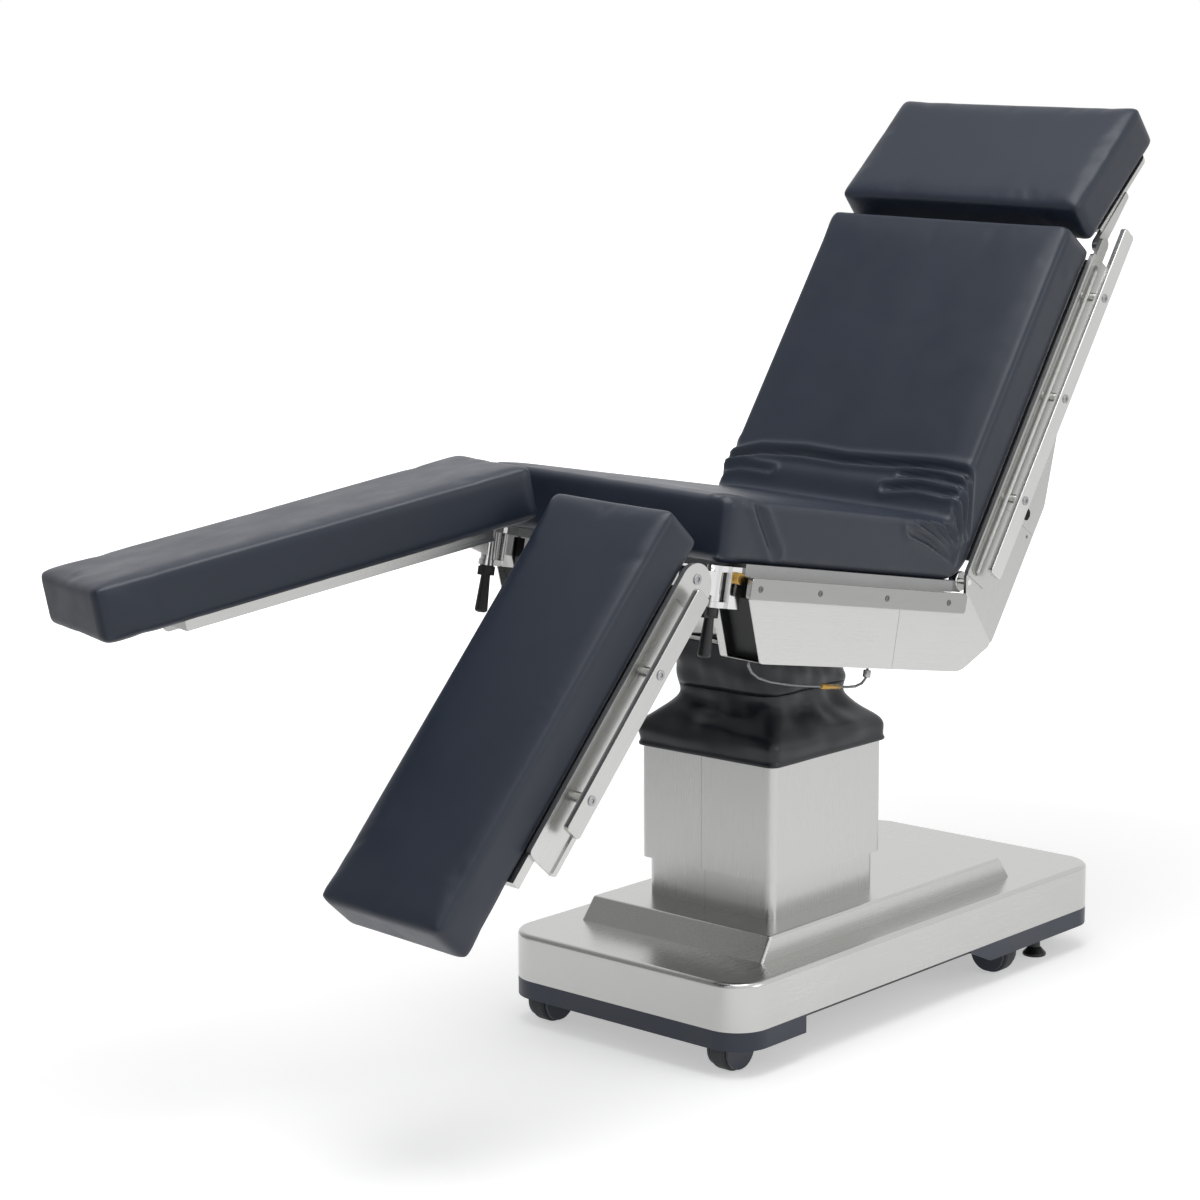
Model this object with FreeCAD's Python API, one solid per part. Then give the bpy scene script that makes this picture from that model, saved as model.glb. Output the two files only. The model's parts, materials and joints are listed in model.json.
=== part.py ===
import FreeCAD, Part
import math
import os

# Electro-hydraulic operating table. Millimetres, +Z up, +X towards the head end, +Y to the patient's right.
# The origin is on the floor under the centre of the lifting column.

# Base, a long low box on four swivel casters
base_length = 1000.0
base_width = 500.0
base_foot_end = -358.0
base_top = 152.0
base_bottom = 75.0
base_corner = 60.0
base_top_edge = 8.0
sheet = 2.0
chassis_thickness = 6.0
chassis_inset = 5.3
bumper_bottom = 45.0
bumper_wall = 5.0
bumper_flange = 20.0
bumper_flange_thickness = 4.0
bumper_foot_reach = 158.0
bumper_head_reach = 395.0
bumper_head_slope = (63.0, 27.0)

# Casters and the brake feet that carry the parked table
caster_end_inset = (64.0, 258.0)
caster_turn = (0.0, 90.0)
caster_side_inset = 62.0
caster_trail = 16.0
wheel_radius = 36.0
wheel_width = 30.0
wheel_lift = 1.0
axle_radius = 5.0
cheek_radius = 32.0
cheek_thickness = 4.5
wheel_side_gap = 1.5
fork_crown = 9.0
crown_gap = 3.0
stem_radius = 8.0
stem_length = 17.0
well_radius = 58.0
well_wall = 4.0
foot_end_inset = (126.0, 130.0)
foot_side_inset = (120.0, 47.0)
foot_radius = 20.5
foot_height = 13.0
foot_stem_radius = 10.0
foot_stem_top = 124.0
foot_guide_wall = 5.0
foot_guide_top = 118.0

# Plinth and the telescopic column
plinth_foot_end = -235.0
plinth_head_end = 450.0
plinth_half_width = 189.0
plinth_height = 36.7
plinth_end_slope = 26.0
plinth_side_slope = 3.0
plinth_corner = 5.0
plinth_edge = 5.0
lower_cover_half = (136.2, 129.5)
cover_gap = 6.8
cover_corner = 14.0
cover_seam_y = 8.0
cover_seam = 0.4
upper_cover_bottom = 251.0
upper_cover_top = 475.0
upper_cover_lid = 3.0
lift_down = 55.0
lift_rest_gap = 3.0
guide_half = 62.0
guide_wall = 8.0
guide_top = 400.0
slide_wall = 6.0
slide_bottom = 150.0
barrel_radius = 30.0
barrel_top = 330.0
rod_radius = 18.0
rod_bottom = 145.0

# Cardan joint at the top of the column
pivot_height = 659.5
pivot_x = 12.0
pivot_depth = 70.0
cross_half = (46.0, 42.0, 30.0)
trunnion_radius = 15.0
lug_radius = 30.0
lug_gap = 4.0
lug_thickness = 18.0
pedestal_drop = 74.0
pedestal_half = (80.0, 76.0)
pedestal_neck = 46.0
pedestal_plate = 18.0

# Rest angles in degrees, and the running fits
trendelenburg = 9.66
lateral_tilt = 2.14
back_angle = 66.8
back_limit = 70.0
head_recline = 14.4
leg_drop = {"left": 58.2, "right": 20.4}
leg_spread = {"left": 0.0, "right": 18.4}
fit = 0.05
slide_fit = 0.1
axial_gap = 0.3

# Boot over the joint between column and table top
boot_wall = 1.4
boot_hem_drop = 35.0
boot_shoulder_rise = 11.0
boot_neck_share = 0.62
boot_neck_half = (104.0, 100.0)

# Pads
pad_half_width = 250.0
pad_thickness = 94.0
pad_corner = 28.0
pad_edge = 10.0
pad_gap = 0.3
bevel_gap = 1.0
seat_front = -418.0
seat_frame_height = 18.0
back_pad_thickness = 85.0
back_pad_length = 620.0
head_pad_thickness = 80.0
head_pad_length = 249.0
head_pad_gap = 2.0
leg_pad_hip = 40.0
leg_pad_length = 711.0
leg_pad_thickness = 80.0
leg_pad_inner = 10.0

# Seat section
seat_frame_front = -362.0
seat_frame_rear = 175.0
seat_bar_width = 40.0
panel_outer = 262.0
panel_inner = 185.0
panel_front = -358.0
panel_bottom = -127.5
panel_front_slope = 46.5
panel_shoulder = -33.0
panel_apex = (293.0, -80.0)
panel_rear_top = 205.0
panel_rear_slope = 0.6
panel_rear_corner = 60.0
panel_box_rear = 150.0
panel_seam_x = 23.0
seam_width = 0.8
seam_depth = 0.8
end_cap_recess = 14.0
tray_front = -130.0
tray_rear = 160.0
tray_opening = (100.0, 96.0)

# Accessory rails, 9 x 32 flat bar
rail_thickness = 9.0
rail_height = 32.0
rail_end_radius = 6.0
seat_rail_front = -368.0
seat_rail_rear = 192.0
rail_outer = 282.0
spacer_radius = 8.0

# Back hinge, measured in the seat section
back_hinge = (214.0, 18.0)
hinge_barrel_radius = 17.0
hinge_barrel_inner = 226.0
hinge_barrel_outer = 241.0
hinge_barrel_edge = 2.5
hinge_pin_radius = 5.0

# Back section, measured from its hinge
back_plate_inner = 251.0
back_plate_thickness = 5.0
back_bar_thickness = 7.0
back_bar_bottom = -45.0
back_bar_top = 17.0
back_bar_start = 8.0
back_bar_end = 609.0
back_groove_start = 14.0
back_groove_end = 596.0
back_groove_centre = -1.0
back_groove_half = 12.0
back_groove_depth = 4.0
back_seam = 144.0
back_panel_start = 34.0
back_panel_short = 10.0
back_panel_lip = 14.0
gusset_nose = (-22.0, -4.0)
gusset_lip = (4.0, 14.0)
gusset_heel = (-62.0, -119.0)
gusset_knee = (200.0, -119.0)
gusset_bend = (340.0, -68.0)
gusset_tip = (420.0, -40.0)
gusset_hole = (165.0, -80.0)
gusset_screw = (135.0, -103.0)
gusset_screw_radius = 3.0
gusset_hole_radius = 10.0
back_rail_start = 28.0
back_rail_end = 674.0
back_rail_top = -9.0
back_spacers = (166.0, 356.0, 547.0)
cross_tube_radius = 12.0
cross_tube_wall = 2.0
cross_tubes = ((120.0, -25.0), (335.0, -25.0), (590.0, -25.0))

# Head section, measured from its hinge
head_hinge = (635.0, -3.0)
head_knuckle = 12.0
head_ear_overlap = 30.0
head_arm_width = 10.0
head_arm_reach = 112.0
head_pin_radius = 6.0
head_plate_thickness = 8.0
head_plate_reach = 205.0

# Leg sections, measured from the drop pivot
spread_pin_x = -405.0
spread_pin_y = 229.0
spread_pin_radius = 6.0
knuckle_radius = 12.0
bracket_rear = -388.0
bracket_half_width = 18.0
bracket_top = 12.0
bracket_bottom = -50.0
bracket_lug = 9.0
drop_pivot_x = -460.0
drop_pivot_z = -4.0
drop_pin_radius = 7.0
knuckle_arm_half = 10.0
knuckle_end_radius = 16.0
leg_plate_inner = 250.0
leg_plate_thickness = 8.0
leg_plate_low = -26.0
leg_plate_high = 44.0
leg_plate_end = 495.0
leg_channel_depth = 3.0
leg_channel_margin = 9.0
leg_panel_start = 42.0
leg_panel_end = 540.0
leg_panel_depth = 16.0
leg_panel_inner = 26.0
leg_rail_start = 34.0
leg_rail_end = 440.0
leg_rail_bottom = -5.0
leg_spacers = (174.0, 384.0)
thumb_screw_radius = 9.0
thumb_screw_length = 8.0
lever_length = 75.0
lever_boss_radius = 11.0
lever_boss_height = 12.0

X = FreeCAD.Vector(1, 0, 0)
Y = FreeCAD.Vector(0, 1, 0)
Z = FreeCAD.Vector(0, 0, 1)
sides = {"left": -1, "right": 1}


def vector(x, y, z):
    return FreeCAD.Vector(x, y, z)


def at(x, y, z):
    return FreeCAD.Placement(vector(x, y, z), FreeCAD.Rotation())


def turn(axis, degrees):
    return FreeCAD.Placement(vector(0, 0, 0), FreeCAD.Rotation(axis, degrees))


def box(x0, x1, y0, y1, z0, z1):
    return Part.makeBox(x1 - x0, y1 - y0, z1 - z0, vector(x0, y0, z0))


def cylinder(radius, start, end):
    way = end - start
    return Part.makeCylinder(radius, way.Length, start, way)


def outline(corners, lift):
    # Closed wire through (u, v, radius) corners, each rounded by a tangent arc
    edges = []
    ends = []
    for i, (u, v, radius) in enumerate(corners):
        corner = vector(u, v, 0)
        back = vector(*corners[i - 1][:2], 0) - corner
        ahead = vector(*corners[(i + 1) % len(corners)][:2], 0) - corner
        back.normalize()
        ahead.normalize()
        half = back.getAngle(ahead) / 2
        setback = radius / math.tan(half)
        start = corner + back * setback
        end = corner + ahead * setback
        ends.append((start, end))
        if radius > 0:
            bisector = (back + ahead).normalize()
            middle = corner + bisector * (radius / math.sin(half) - radius)
            edges.append(Part.Arc(lift(start), lift(middle), lift(end)).toShape())
        if i > 0:
            edges.append(Part.makeLine(lift(ends[i - 1][1]), lift(start)))
    edges.append(Part.makeLine(lift(ends[-1][1]), lift(ends[0][0])))
    return Part.Wire(Part.__sortEdges__(edges))


def prism_up(corners, z0, z1):
    # Outline in plan, extruded from z0 to z1
    wire = outline(corners, lambda p: vector(p.x, p.y, z0))
    return Part.Face(wire).extrude(vector(0, 0, z1 - z0))


def prism_across(corners, y0, y1):
    # Side outline in X and Z, extruded from y0 to y1
    wire = outline(corners, lambda p: vector(p.x, y0, p.y))
    return Part.Face(wire).extrude(vector(0, y1 - y0, 0))


def rectangle(x0, x1, y0, y1, radius):
    return [(x0, y0, radius), (x1, y0, radius), (x1, y1, radius), (x0, y1, radius)]


def edges_at(shape, test):
    return [edge for edge in shape.Edges if test(edge.BoundBox)]


def edges_at_height(shape, z):
    return edges_at(shape, lambda b: abs(b.ZMin - z) < 0.01 and abs(b.ZMax - z) < 0.01)


def on_side(shape, side):
    # Shapes are drawn for the patient's right side and mirrored for the left
    if side < 0:
        return shape.mirror(vector(0, 0, 0), Y)
    return shape


def export(name, shape, pose=FreeCAD.Placement()):
    placed = shape.copy()
    placed.Placement = pose.multiply(placed.Placement)
    placed.exportStep("parts/" + name + ".step")


# Places of the sections at rest

tilted_pose = at(0, 0, pivot_height) * turn(Y, trendelenburg) * turn(X, lateral_tilt)
seat_pose = tilted_pose * at(-pivot_x, 0, pivot_depth)
cross_pose = at(0, 0, pivot_height) * turn(Y, trendelenburg)
back_pose = seat_pose * at(back_hinge[0], 0, back_hinge[1]) * turn(Y, -back_angle)
head_pose = back_pose * at(head_hinge[0], 0, head_hinge[1]) * turn(Y, head_recline)


def spread_pose(name):
    side = sides[name]
    return seat_pose * at(spread_pin_x, side * spread_pin_y, 0) * turn(Z, -side * leg_spread[name])


def leg_pose(name):
    side = sides[name]
    return (spread_pose(name) * at(drop_pivot_x - spread_pin_x, -side * spread_pin_y, drop_pivot_z)
            * turn(Y, -leg_drop[name]))


# Values that follow from the ones above

base_head_end = base_foot_end + base_length
base_half_width = base_width / 2
caster_x = (base_foot_end + caster_end_inset[0], base_head_end - caster_end_inset[1])
caster_y = base_half_width - caster_side_inset
foot_places = ((base_foot_end + foot_end_inset[0], base_half_width - foot_side_inset[0]),
               (base_head_end - foot_end_inset[1], base_half_width - foot_side_inset[1]))
chassis_bottom = base_bottom - chassis_thickness
wheel_height = wheel_radius + wheel_lift
crown_bottom = wheel_height + wheel_radius + crown_gap
crown_top = crown_bottom + fork_crown
well_ceiling = crown_top + axial_gap
plinth_top = base_top + plinth_height
upper_cover_half = (lower_cover_half[0] + cover_gap + sheet, lower_cover_half[1] + cover_gap + sheet)
lid_bottom = upper_cover_top - upper_cover_lid
lower_cover_top = lid_bottom - lift_down - lift_rest_gap
slide_half = guide_half - guide_wall - slide_fit
pedestal_top = pivot_height - pedestal_drop
lug_inner = cross_half[1] + lug_gap
lug_outer = lug_inner + lug_thickness
seat_lug_inner = cross_half[0] + lug_gap
seat_lug_outer = seat_lug_inner + lug_thickness
seat_top = seat_frame_height + pad_thickness
back_pad_top = pad_thickness
back_pad_bottom = back_pad_top - back_pad_thickness
head_pad_top = back_pad_top - head_hinge[1]
leg_pad_top = seat_top - drop_pivot_z
leg_pad_bottom = leg_pad_top - leg_pad_thickness
bevel = math.tan(math.radians(back_limit / 2))
plate_outer = back_plate_inner + back_plate_thickness


def caster_places():
    for end, x, angle in zip(("foot", "head"), caster_x, caster_turn):
        for name, side in sides.items():
            yield end + "_" + name, x, side * caster_y, angle


def foot_centres():
    return [(x, side * y) for x, y in foot_places for side in (-1, 1)]


def base_outline(inset):
    radius = base_corner - inset
    return rectangle(base_foot_end + inset, base_head_end - inset,
                     inset - base_half_width, base_half_width - inset, radius)


def make_chassis():
    plate = prism_up(base_outline(chassis_inset), chassis_bottom, base_bottom)
    for _, x, y, _ in caster_places():
        well_top = well_ceiling + well_wall
        cup = cylinder(well_radius + well_wall, vector(x, y, chassis_bottom), vector(x, y, well_top))
        boss = cylinder(stem_radius * 2, vector(x, y, well_top), vector(x, y, crown_top + stem_length + fit))
        hollow = cylinder(well_radius, vector(x, y, chassis_bottom), vector(x, y, well_ceiling))
        bore = cylinder(stem_radius + fit, vector(x, y, well_ceiling), vector(x, y, crown_top + stem_length + 1))
        plate = plate.fuse([cup, boss]).cut([hollow, bore])
    for x, y in foot_centres():
        outer = foot_stem_radius + fit + foot_guide_wall
        tube = cylinder(outer, vector(x, y, chassis_bottom), vector(x, y, foot_guide_top))
        bore = cylinder(foot_stem_radius + fit, vector(x, y, chassis_bottom), vector(x, y, foot_guide_top))
        plate = plate.fuse(tube).cut(bore)
    return plate.common(prism_up(base_outline(chassis_inset), 0, base_top)).removeSplitter()


def make_base_cover():
    outer = prism_up(base_outline(0), base_bottom, base_top)
    outer = outer.makeFillet(base_top_edge, edges_at_height(outer, base_top))
    inner = prism_up(base_outline(sheet), base_bottom, base_top - sheet)
    inner = inner.makeFillet(base_top_edge - sheet, edges_at_height(inner, base_top - sheet))
    opening = guide_half + sheet
    hole = box(-opening, opening, -opening, opening, base_top - 2 * sheet, base_top + sheet)
    return outer.cut([inner, hole])


def make_bumper(x0, x1):
    # U-shaped skirt: the part of the rim between two stations, with a flange under the chassis plate
    wall = prism_up(base_outline(0), bumper_bottom, base_bottom)
    wall = wall.cut(prism_up(base_outline(bumper_wall), bumper_bottom, base_bottom))
    flange_top = chassis_bottom
    flange = prism_up(base_outline(bumper_wall), flange_top - bumper_flange_thickness, flange_top)
    flange = flange.cut(prism_up(base_outline(bumper_flange), bumper_bottom, base_bottom))
    skirt = wall.fuse(flange).common(box(x0, x1, -base_width, base_width, 0, base_top))
    for _, x, y, _ in caster_places():
        skirt = skirt.cut(cylinder(well_radius, vector(x, y, bumper_bottom - 1), vector(x, y, chassis_bottom)))
    return skirt.removeSplitter()


def make_fork():
    # Cheeks around the wheel, crown above it, stem and axle, drawn about the swivel axis
    outer = wheel_width / 2 + wheel_side_gap + cheek_thickness
    left = -caster_trail - cheek_radius
    right = -caster_trail + cheek_radius
    low = wheel_height - cheek_radius
    side = [(left, low, cheek_radius - 0.1), (right, low, cheek_radius - 0.1), (right + 2, crown_top, 3),
            (-stem_radius * 2, crown_top, 8), (left, wheel_height + 14, 14)]
    fork = prism_across(side, -outer, outer)
    inner = wheel_width / 2 + wheel_side_gap
    slot = wheel_radius + crown_gap
    fork = fork.cut(box(-caster_trail - slot, slot - caster_trail, -inner, inner, 0, crown_bottom))
    stem = cylinder(stem_radius, vector(0, 0, crown_top - 1), vector(0, 0, crown_top + stem_length))
    axle = cylinder(axle_radius, vector(-caster_trail, -outer, wheel_height),
                    vector(-caster_trail, outer, wheel_height))
    return fork.fuse([stem, axle]).removeSplitter()


def make_wheel():
    # Half section turned about the axle: hub, recessed web and a rounded tyre
    half = wheel_width / 2
    hub = axle_radius * 2
    rim = wheel_radius * 0.68
    web = half * 0.45
    section = [(axle_radius + fit, -half, 0), (hub, -half, 1), (hub + 2, -web, 1), (rim - 2, -web, 1),
               (rim, -half, 1), (wheel_radius, -half, 6), (wheel_radius, half, 6), (rim, half, 1),
               (rim - 2, web, 1), (hub + 2, web, 1), (hub, half, 1), (axle_radius + fit, half, 0)]
    wire = outline(section, lambda p: vector(p.x, p.y, 0))
    return Part.Face(wire).revolve(vector(0, 0, 0), Y, 360)


def make_brake_foot(x, y):
    # Domed pad with its stem, turned about the stem's axis
    dome = [(0, 0, 0), (foot_radius, 0, 2), (foot_radius, foot_height * 0.35, 3),
            (foot_stem_radius + 3, foot_height, 3), (foot_stem_radius, foot_height + 3, 1),
            (foot_stem_radius, foot_stem_top, 2), (0, foot_stem_top, 0)]
    wire = outline(dome, lambda p: vector(p.x, 0, p.y))
    foot = Part.Face(wire).revolve(vector(0, 0, 0), Z, 360)
    foot.translate(vector(x, y, 0))
    return foot


def make_plinth():
    # Folded pan with sloped ends and nearly upright sides
    def pan(inset):
        wires = []
        for z, share in ((base_top, 0), (plinth_top - inset, 1)):
            x0 = plinth_foot_end + inset + share * plinth_end_slope
            x1 = plinth_head_end - inset - share * plinth_end_slope
            y = plinth_half_width - inset - share * plinth_side_slope
            corners = rectangle(x0, x1, -y, y, plinth_corner - inset)
            wires.append(outline(corners, lambda p: vector(p.x, p.y, z)))
        solid = Part.makeLoft(wires, True, True)
        return solid.makeFillet(plinth_edge - inset, edges_at_height(solid, plinth_top - inset))
    opening = guide_half + sheet
    hole = box(-opening, opening, -opening, opening, plinth_top - 2 * sheet, plinth_top + sheet)
    return pan(0).cut([pan(sheet), hole])


def column_tube(half, z0, z1):
    outer = prism_up(rectangle(-half[0], half[0], -half[1], half[1], cover_corner), z0, z1)
    x = half[0] - sheet
    y = half[1] - sheet
    inner = prism_up(rectangle(-x, x, -y, y, cover_corner - sheet), z0, z1)
    return outer.cut(inner)


def split_shells(shape, half):
    # The cover is two half shells that meet in a vertical seam
    seam = box(-half[0], half[0], cover_seam_y, cover_seam_y + cover_seam, 0, pivot_height)
    return shape.cut(seam)


def make_lower_cover():
    return split_shells(column_tube(lower_cover_half, plinth_top, lower_cover_top), lower_cover_half)


def make_upper_cover():
    half = upper_cover_half
    tube = column_tube(half, upper_cover_bottom, upper_cover_top)
    lid = prism_up(rectangle(-half[0], half[0], -half[1], half[1], cover_corner), lid_bottom, upper_cover_top)
    opening = slide_half - slide_wall
    lid = lid.cut(box(-opening, opening, -opening, opening, lid_bottom, upper_cover_top))
    return split_shells(tube.fuse(lid), half)


def square_tube(half, wall, z0, z1, corner):
    outer = prism_up(rectangle(-half, half, -half, half, corner), z0, z1)
    inner = half - wall
    return outer.cut(prism_up(rectangle(-inner, inner, -inner, inner, corner), z0, z1))


def make_lift_barrel():
    barrel = cylinder(barrel_radius, vector(0, 0, base_bottom), vector(0, 0, barrel_top))
    bore = cylinder(rod_radius + fit, vector(0, 0, base_bottom + guide_wall), vector(0, 0, barrel_top))
    return barrel.cut(bore)


def make_column_head():
    # Foot plate, tapered pedestal and two lugs that carry the cross pin
    foot = rectangle(-pedestal_half[0], pedestal_half[0], -pedestal_half[1], pedestal_half[1], 10)
    plate_top = upper_cover_top + pedestal_plate
    plate = prism_up(foot, upper_cover_top, plate_top)
    low = outline(rectangle(-lug_outer, lug_outer, -lug_outer, lug_outer, 8),
                  lambda p: vector(p.x, p.y, plate_top))
    high = outline(rectangle(-pedestal_neck, pedestal_neck, -lug_outer, lug_outer, 8),
                   lambda p: vector(p.x, p.y, pedestal_top))
    pedestal = Part.makeLoft([low, high], True, True)
    head = plate.fuse(pedestal)
    r = lug_radius
    tongue = [(-pedestal_neck + 8, pedestal_top - 10, 0), (pedestal_neck - 8, pedestal_top - 10, 0),
              (r, pivot_height, 0), (r, pivot_height + r, r - 0.1), (-r, pivot_height + r, r - 0.1),
              (-r, pivot_height, 0)]
    for side in (-1, 1):
        y0, y1 = sorted((side * lug_inner, side * lug_outer))
        head = head.fuse(prism_across(tongue, y0, y1))
    bore = cylinder(trunnion_radius + fit, vector(0, -lug_outer, pivot_height), vector(0, lug_outer, pivot_height))
    return head.cut(bore).removeSplitter()


def make_cross():
    x, y, z = cross_half
    body = box(-x, x, -y, y, -z, z)
    body = body.makeChamfer(6, body.Edges)
    pins = [cylinder(trunnion_radius, vector(0, -lug_outer, 0), vector(0, lug_outer, 0)),
            cylinder(trunnion_radius, vector(-seat_lug_outer, 0, 0), vector(seat_lug_outer, 0, 0))]
    return body.fuse(pins).removeSplitter()


def boot_sections(grow):
    # Rounded rectangles from the hem up to the tray, the last one lying in the tilted tray's plane
    cover = (upper_cover_half[0] + pad_gap + grow, upper_cover_half[1] + pad_gap + grow)
    neck = (boot_neck_half[0] - boot_wall + grow, boot_neck_half[1] - boot_wall + grow)
    middle = ((cover[0] * 2 + neck[0]) / 3, (cover[1] * 2 + neck[1]) / 3)
    corners = outline(rectangle(pivot_x - neck[0], pivot_x + neck[0], -neck[1], neck[1], cover_corner + grow),
                      lambda p: seat_pose.multVec(vector(p.x, p.y, panel_bottom - axial_gap)))
    shoulder = upper_cover_top + boot_shoulder_rise + grow
    neck_height = shoulder + boot_neck_share * (corners.BoundBox.ZMin - shoulder)
    stations = [(cover, upper_cover_top - boot_hem_drop), (cover, upper_cover_top + sheet + grow),
                (middle, shoulder), (neck, neck_height)]
    wires = []
    for (x, y), z in stations:
        wires.append(outline(rectangle(-x, x, -y, y, cover_corner + grow), lambda p: vector(p.x, p.y, z)))
    wires.append(corners)
    return wires


def make_boot():
    outer = Part.makeLoft(boot_sections(boot_wall), True, True)
    return outer.cut(Part.makeLoft(boot_sections(0), True, True))


def make_seat_frame():
    # Two side bars, four cross bars, the arms to the back hinge and the two lugs of the cardan joint
    y = pad_half_width
    w = seat_bar_width
    h = seat_frame_height
    bars = [box(seat_frame_front, seat_frame_rear, y - w, y, 0, h),
            box(seat_frame_front, seat_frame_rear, -y, w - y, 0, h),
            box(seat_frame_front, seat_frame_front + w, -y, y, 0, h),
            box(seat_frame_rear - w, seat_frame_rear, -y, y, 0, h)]
    r = lug_radius
    lug = [(-r - 14, 1, 0), (-r, -pivot_depth + 10, 12), (-r, -pivot_depth - r, r - 0.1),
           (r, -pivot_depth - r, r - 0.1), (r, -pivot_depth + 10, 12), (r + 14, 1, 0)]
    for side in (-1, 1):
        x0, x1 = sorted((pivot_x + side * seat_lug_inner, pivot_x + side * seat_lug_outer))
        bars.append(box(x0 - 10, x1 + 10, -y, y, 0, h))
        wire = outline(lug, lambda p: vector(x0, p.x, p.y))
        bars.append(Part.Face(wire).extrude(vector(x1 - x0, 0, 0)))
    for side in (-1, 1):
        y0, y1 = sorted((side * hinge_barrel_inner, side * hinge_barrel_outer))
        arm = box(seat_frame_rear - w, back_hinge[0], y0, y1, 0, h)
        bars.append(arm.cut(cylinder(hinge_barrel_radius, vector(back_hinge[0], y0, back_hinge[1]),
                                     vector(back_hinge[0], y1, back_hinge[1]))))
    frame = bars[0].fuse(bars[1:])
    ends = (pivot_x - seat_lug_outer, pivot_x + seat_lug_outer)
    bore = cylinder(trunnion_radius + fit, vector(ends[0], 0, -pivot_depth), vector(ends[1], 0, -pivot_depth))
    return frame.cut(bore).removeSplitter()


def panel_outline(rear):
    apex_x, apex_z = panel_apex
    low_rear = apex_x + (panel_bottom - apex_z) / panel_rear_slope
    front = [(panel_front, 0, 0), (panel_front, panel_shoulder, 3),
             (panel_front + panel_front_slope, panel_bottom, 8)]
    if rear < panel_rear_top:
        return front + [(rear, panel_bottom, 0), (rear, 0, 0)]
    return front + [(low_rear, panel_bottom, panel_rear_corner), (apex_x, apex_z, 8), (panel_rear_top, 0, 3)]


def make_side_panel():
    # Outer wall, inner wall, bottom and top flange of the side housing
    outer = prism_across(panel_outline(panel_apex[0]), panel_outer - sheet, panel_outer)
    seam = box(panel_seam_x, panel_seam_x + seam_width, panel_outer - seam_depth, panel_outer, panel_bottom, 0)
    inner = prism_across(panel_outline(panel_box_rear), panel_inner, panel_inner + sheet)
    solid = prism_across(panel_outline(panel_box_rear), panel_inner, panel_outer)
    bottom = solid.common(box(panel_front + panel_front_slope, panel_box_rear, 0, panel_outer - sheet,
                              panel_bottom, panel_bottom + sheet))
    top = box(panel_front, panel_box_rear, panel_inner, panel_outer - sheet, -sheet, 0)
    return outer.cut(seam).fuse([inner, bottom, top]).removeSplitter()


def make_end_cap():
    shift = end_cap_recess
    corners = [(panel_front + shift, -sheet, 0), (panel_front + shift, panel_shoulder, 2),
               (panel_front + panel_front_slope + shift, panel_bottom + sheet, 4),
               (panel_front + panel_front_slope + 2 * shift, panel_bottom + sheet, 0),
               (panel_front + 2 * shift, panel_shoulder, 0), (panel_front + 2 * shift, -sheet, 0)]
    return prism_across(corners, panel_inner + sheet, panel_outer - sheet)


def make_tray():
    # Bottom plate between the side housings, with the opening for the column head
    plate = box(tray_front, tray_rear, -panel_inner, panel_inner, panel_bottom, panel_bottom + sheet)
    x, y = tray_opening
    corners = rectangle(pivot_x - x, pivot_x + x, -y, y, cover_corner)
    return plate.cut(prism_up(corners, panel_bottom, panel_bottom + sheet))


def make_rail(x0, x1, z0, y1):
    corners = rectangle(x0, x1, z0, z0 + rail_height, rail_end_radius)
    rail = prism_across(corners, y1 - rail_thickness, y1)
    return rail.makeFillet(1.0, edges_at(rail, lambda b: abs(b.YMin - y1) < 0.01 and abs(b.YMax - y1) < 0.01))


def make_spacers(stations, z, y0):
    y1 = rail_outer - rail_thickness
    return [cylinder(spacer_radius, vector(x, y0, z), vector(x, y1, z)) for x in stations]


def soft_block(corners, z0, z1):
    pad = prism_up(corners, z0, z1)
    rim = edges_at_height(pad, z0) + edges_at_height(pad, z1)
    return pad.makeFillet(pad_edge, rim)


def bevel_cut(hinge, direction):
    # Wedge that trims a pad along a plane through the hinge, so that seat and back pads clear each other
    x, z = hinge
    top = pad_thickness * 1.5
    low = -pad_thickness / 2
    reach = pad_thickness * 3
    corners = [(x + direction * (bevel_gap + low * bevel), z + low, 0),
               (x + direction * (bevel_gap + top * bevel), z + top, 0), (x - direction * reach, z + top, 0),
               (x - direction * reach, z + low, 0)]
    return prism_across(corners, -base_width, base_width)


def hinge_notches(x, z):
    # Room for the hinge barrels in the corners of the pads
    r = hinge_barrel_radius + 1
    y0 = hinge_barrel_inner - 1
    y1 = pad_half_width + 1
    return [cylinder(r, vector(x, y0, z), vector(x, y1, z)),
            cylinder(r, vector(x, -y1, z), vector(x, -y0, z))]


def make_seat_pad():
    front = seat_front
    rear = back_hinge[0] - bevel_gap
    y = pad_half_width
    corners = [(front, -y, pad_corner), (rear, -y, 0), (rear, y, 0), (front, y, pad_corner)]
    pad = prism_up(corners, seat_frame_height + pad_gap, seat_top)
    pad = pad.cut(bevel_cut(back_hinge, -1))
    pad = pad.makeFillet(pad_edge, edges_at_height(pad, seat_top))
    return pad.cut(hinge_notches(back_hinge[0], back_hinge[1]))


def make_back_pad():
    y = pad_half_width
    corners = [(bevel_gap, -y, 0), (back_pad_length, -y, pad_corner), (back_pad_length, y, pad_corner),
               (bevel_gap, y, 0)]
    pad = prism_up(corners, back_pad_bottom, back_pad_top)
    pad = pad.cut(bevel_cut((0, 0), 1))
    pad = pad.makeFillet(pad_edge, edges_at_height(pad, back_pad_top))
    return pad.cut(hinge_notches(0, 0))


def make_head_pad():
    y = pad_half_width
    start = back_pad_length + head_pad_gap - head_hinge[0]
    corners = rectangle(start, start + head_pad_length, -y, y, pad_corner)
    return soft_block(corners, head_pad_top - head_pad_thickness, head_pad_top)


def make_leg_pad():
    corners = rectangle(leg_pad_hip - leg_pad_length, leg_pad_hip, leg_pad_inner, pad_half_width, pad_corner)
    return soft_block(corners, leg_pad_bottom, leg_pad_top)


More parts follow.
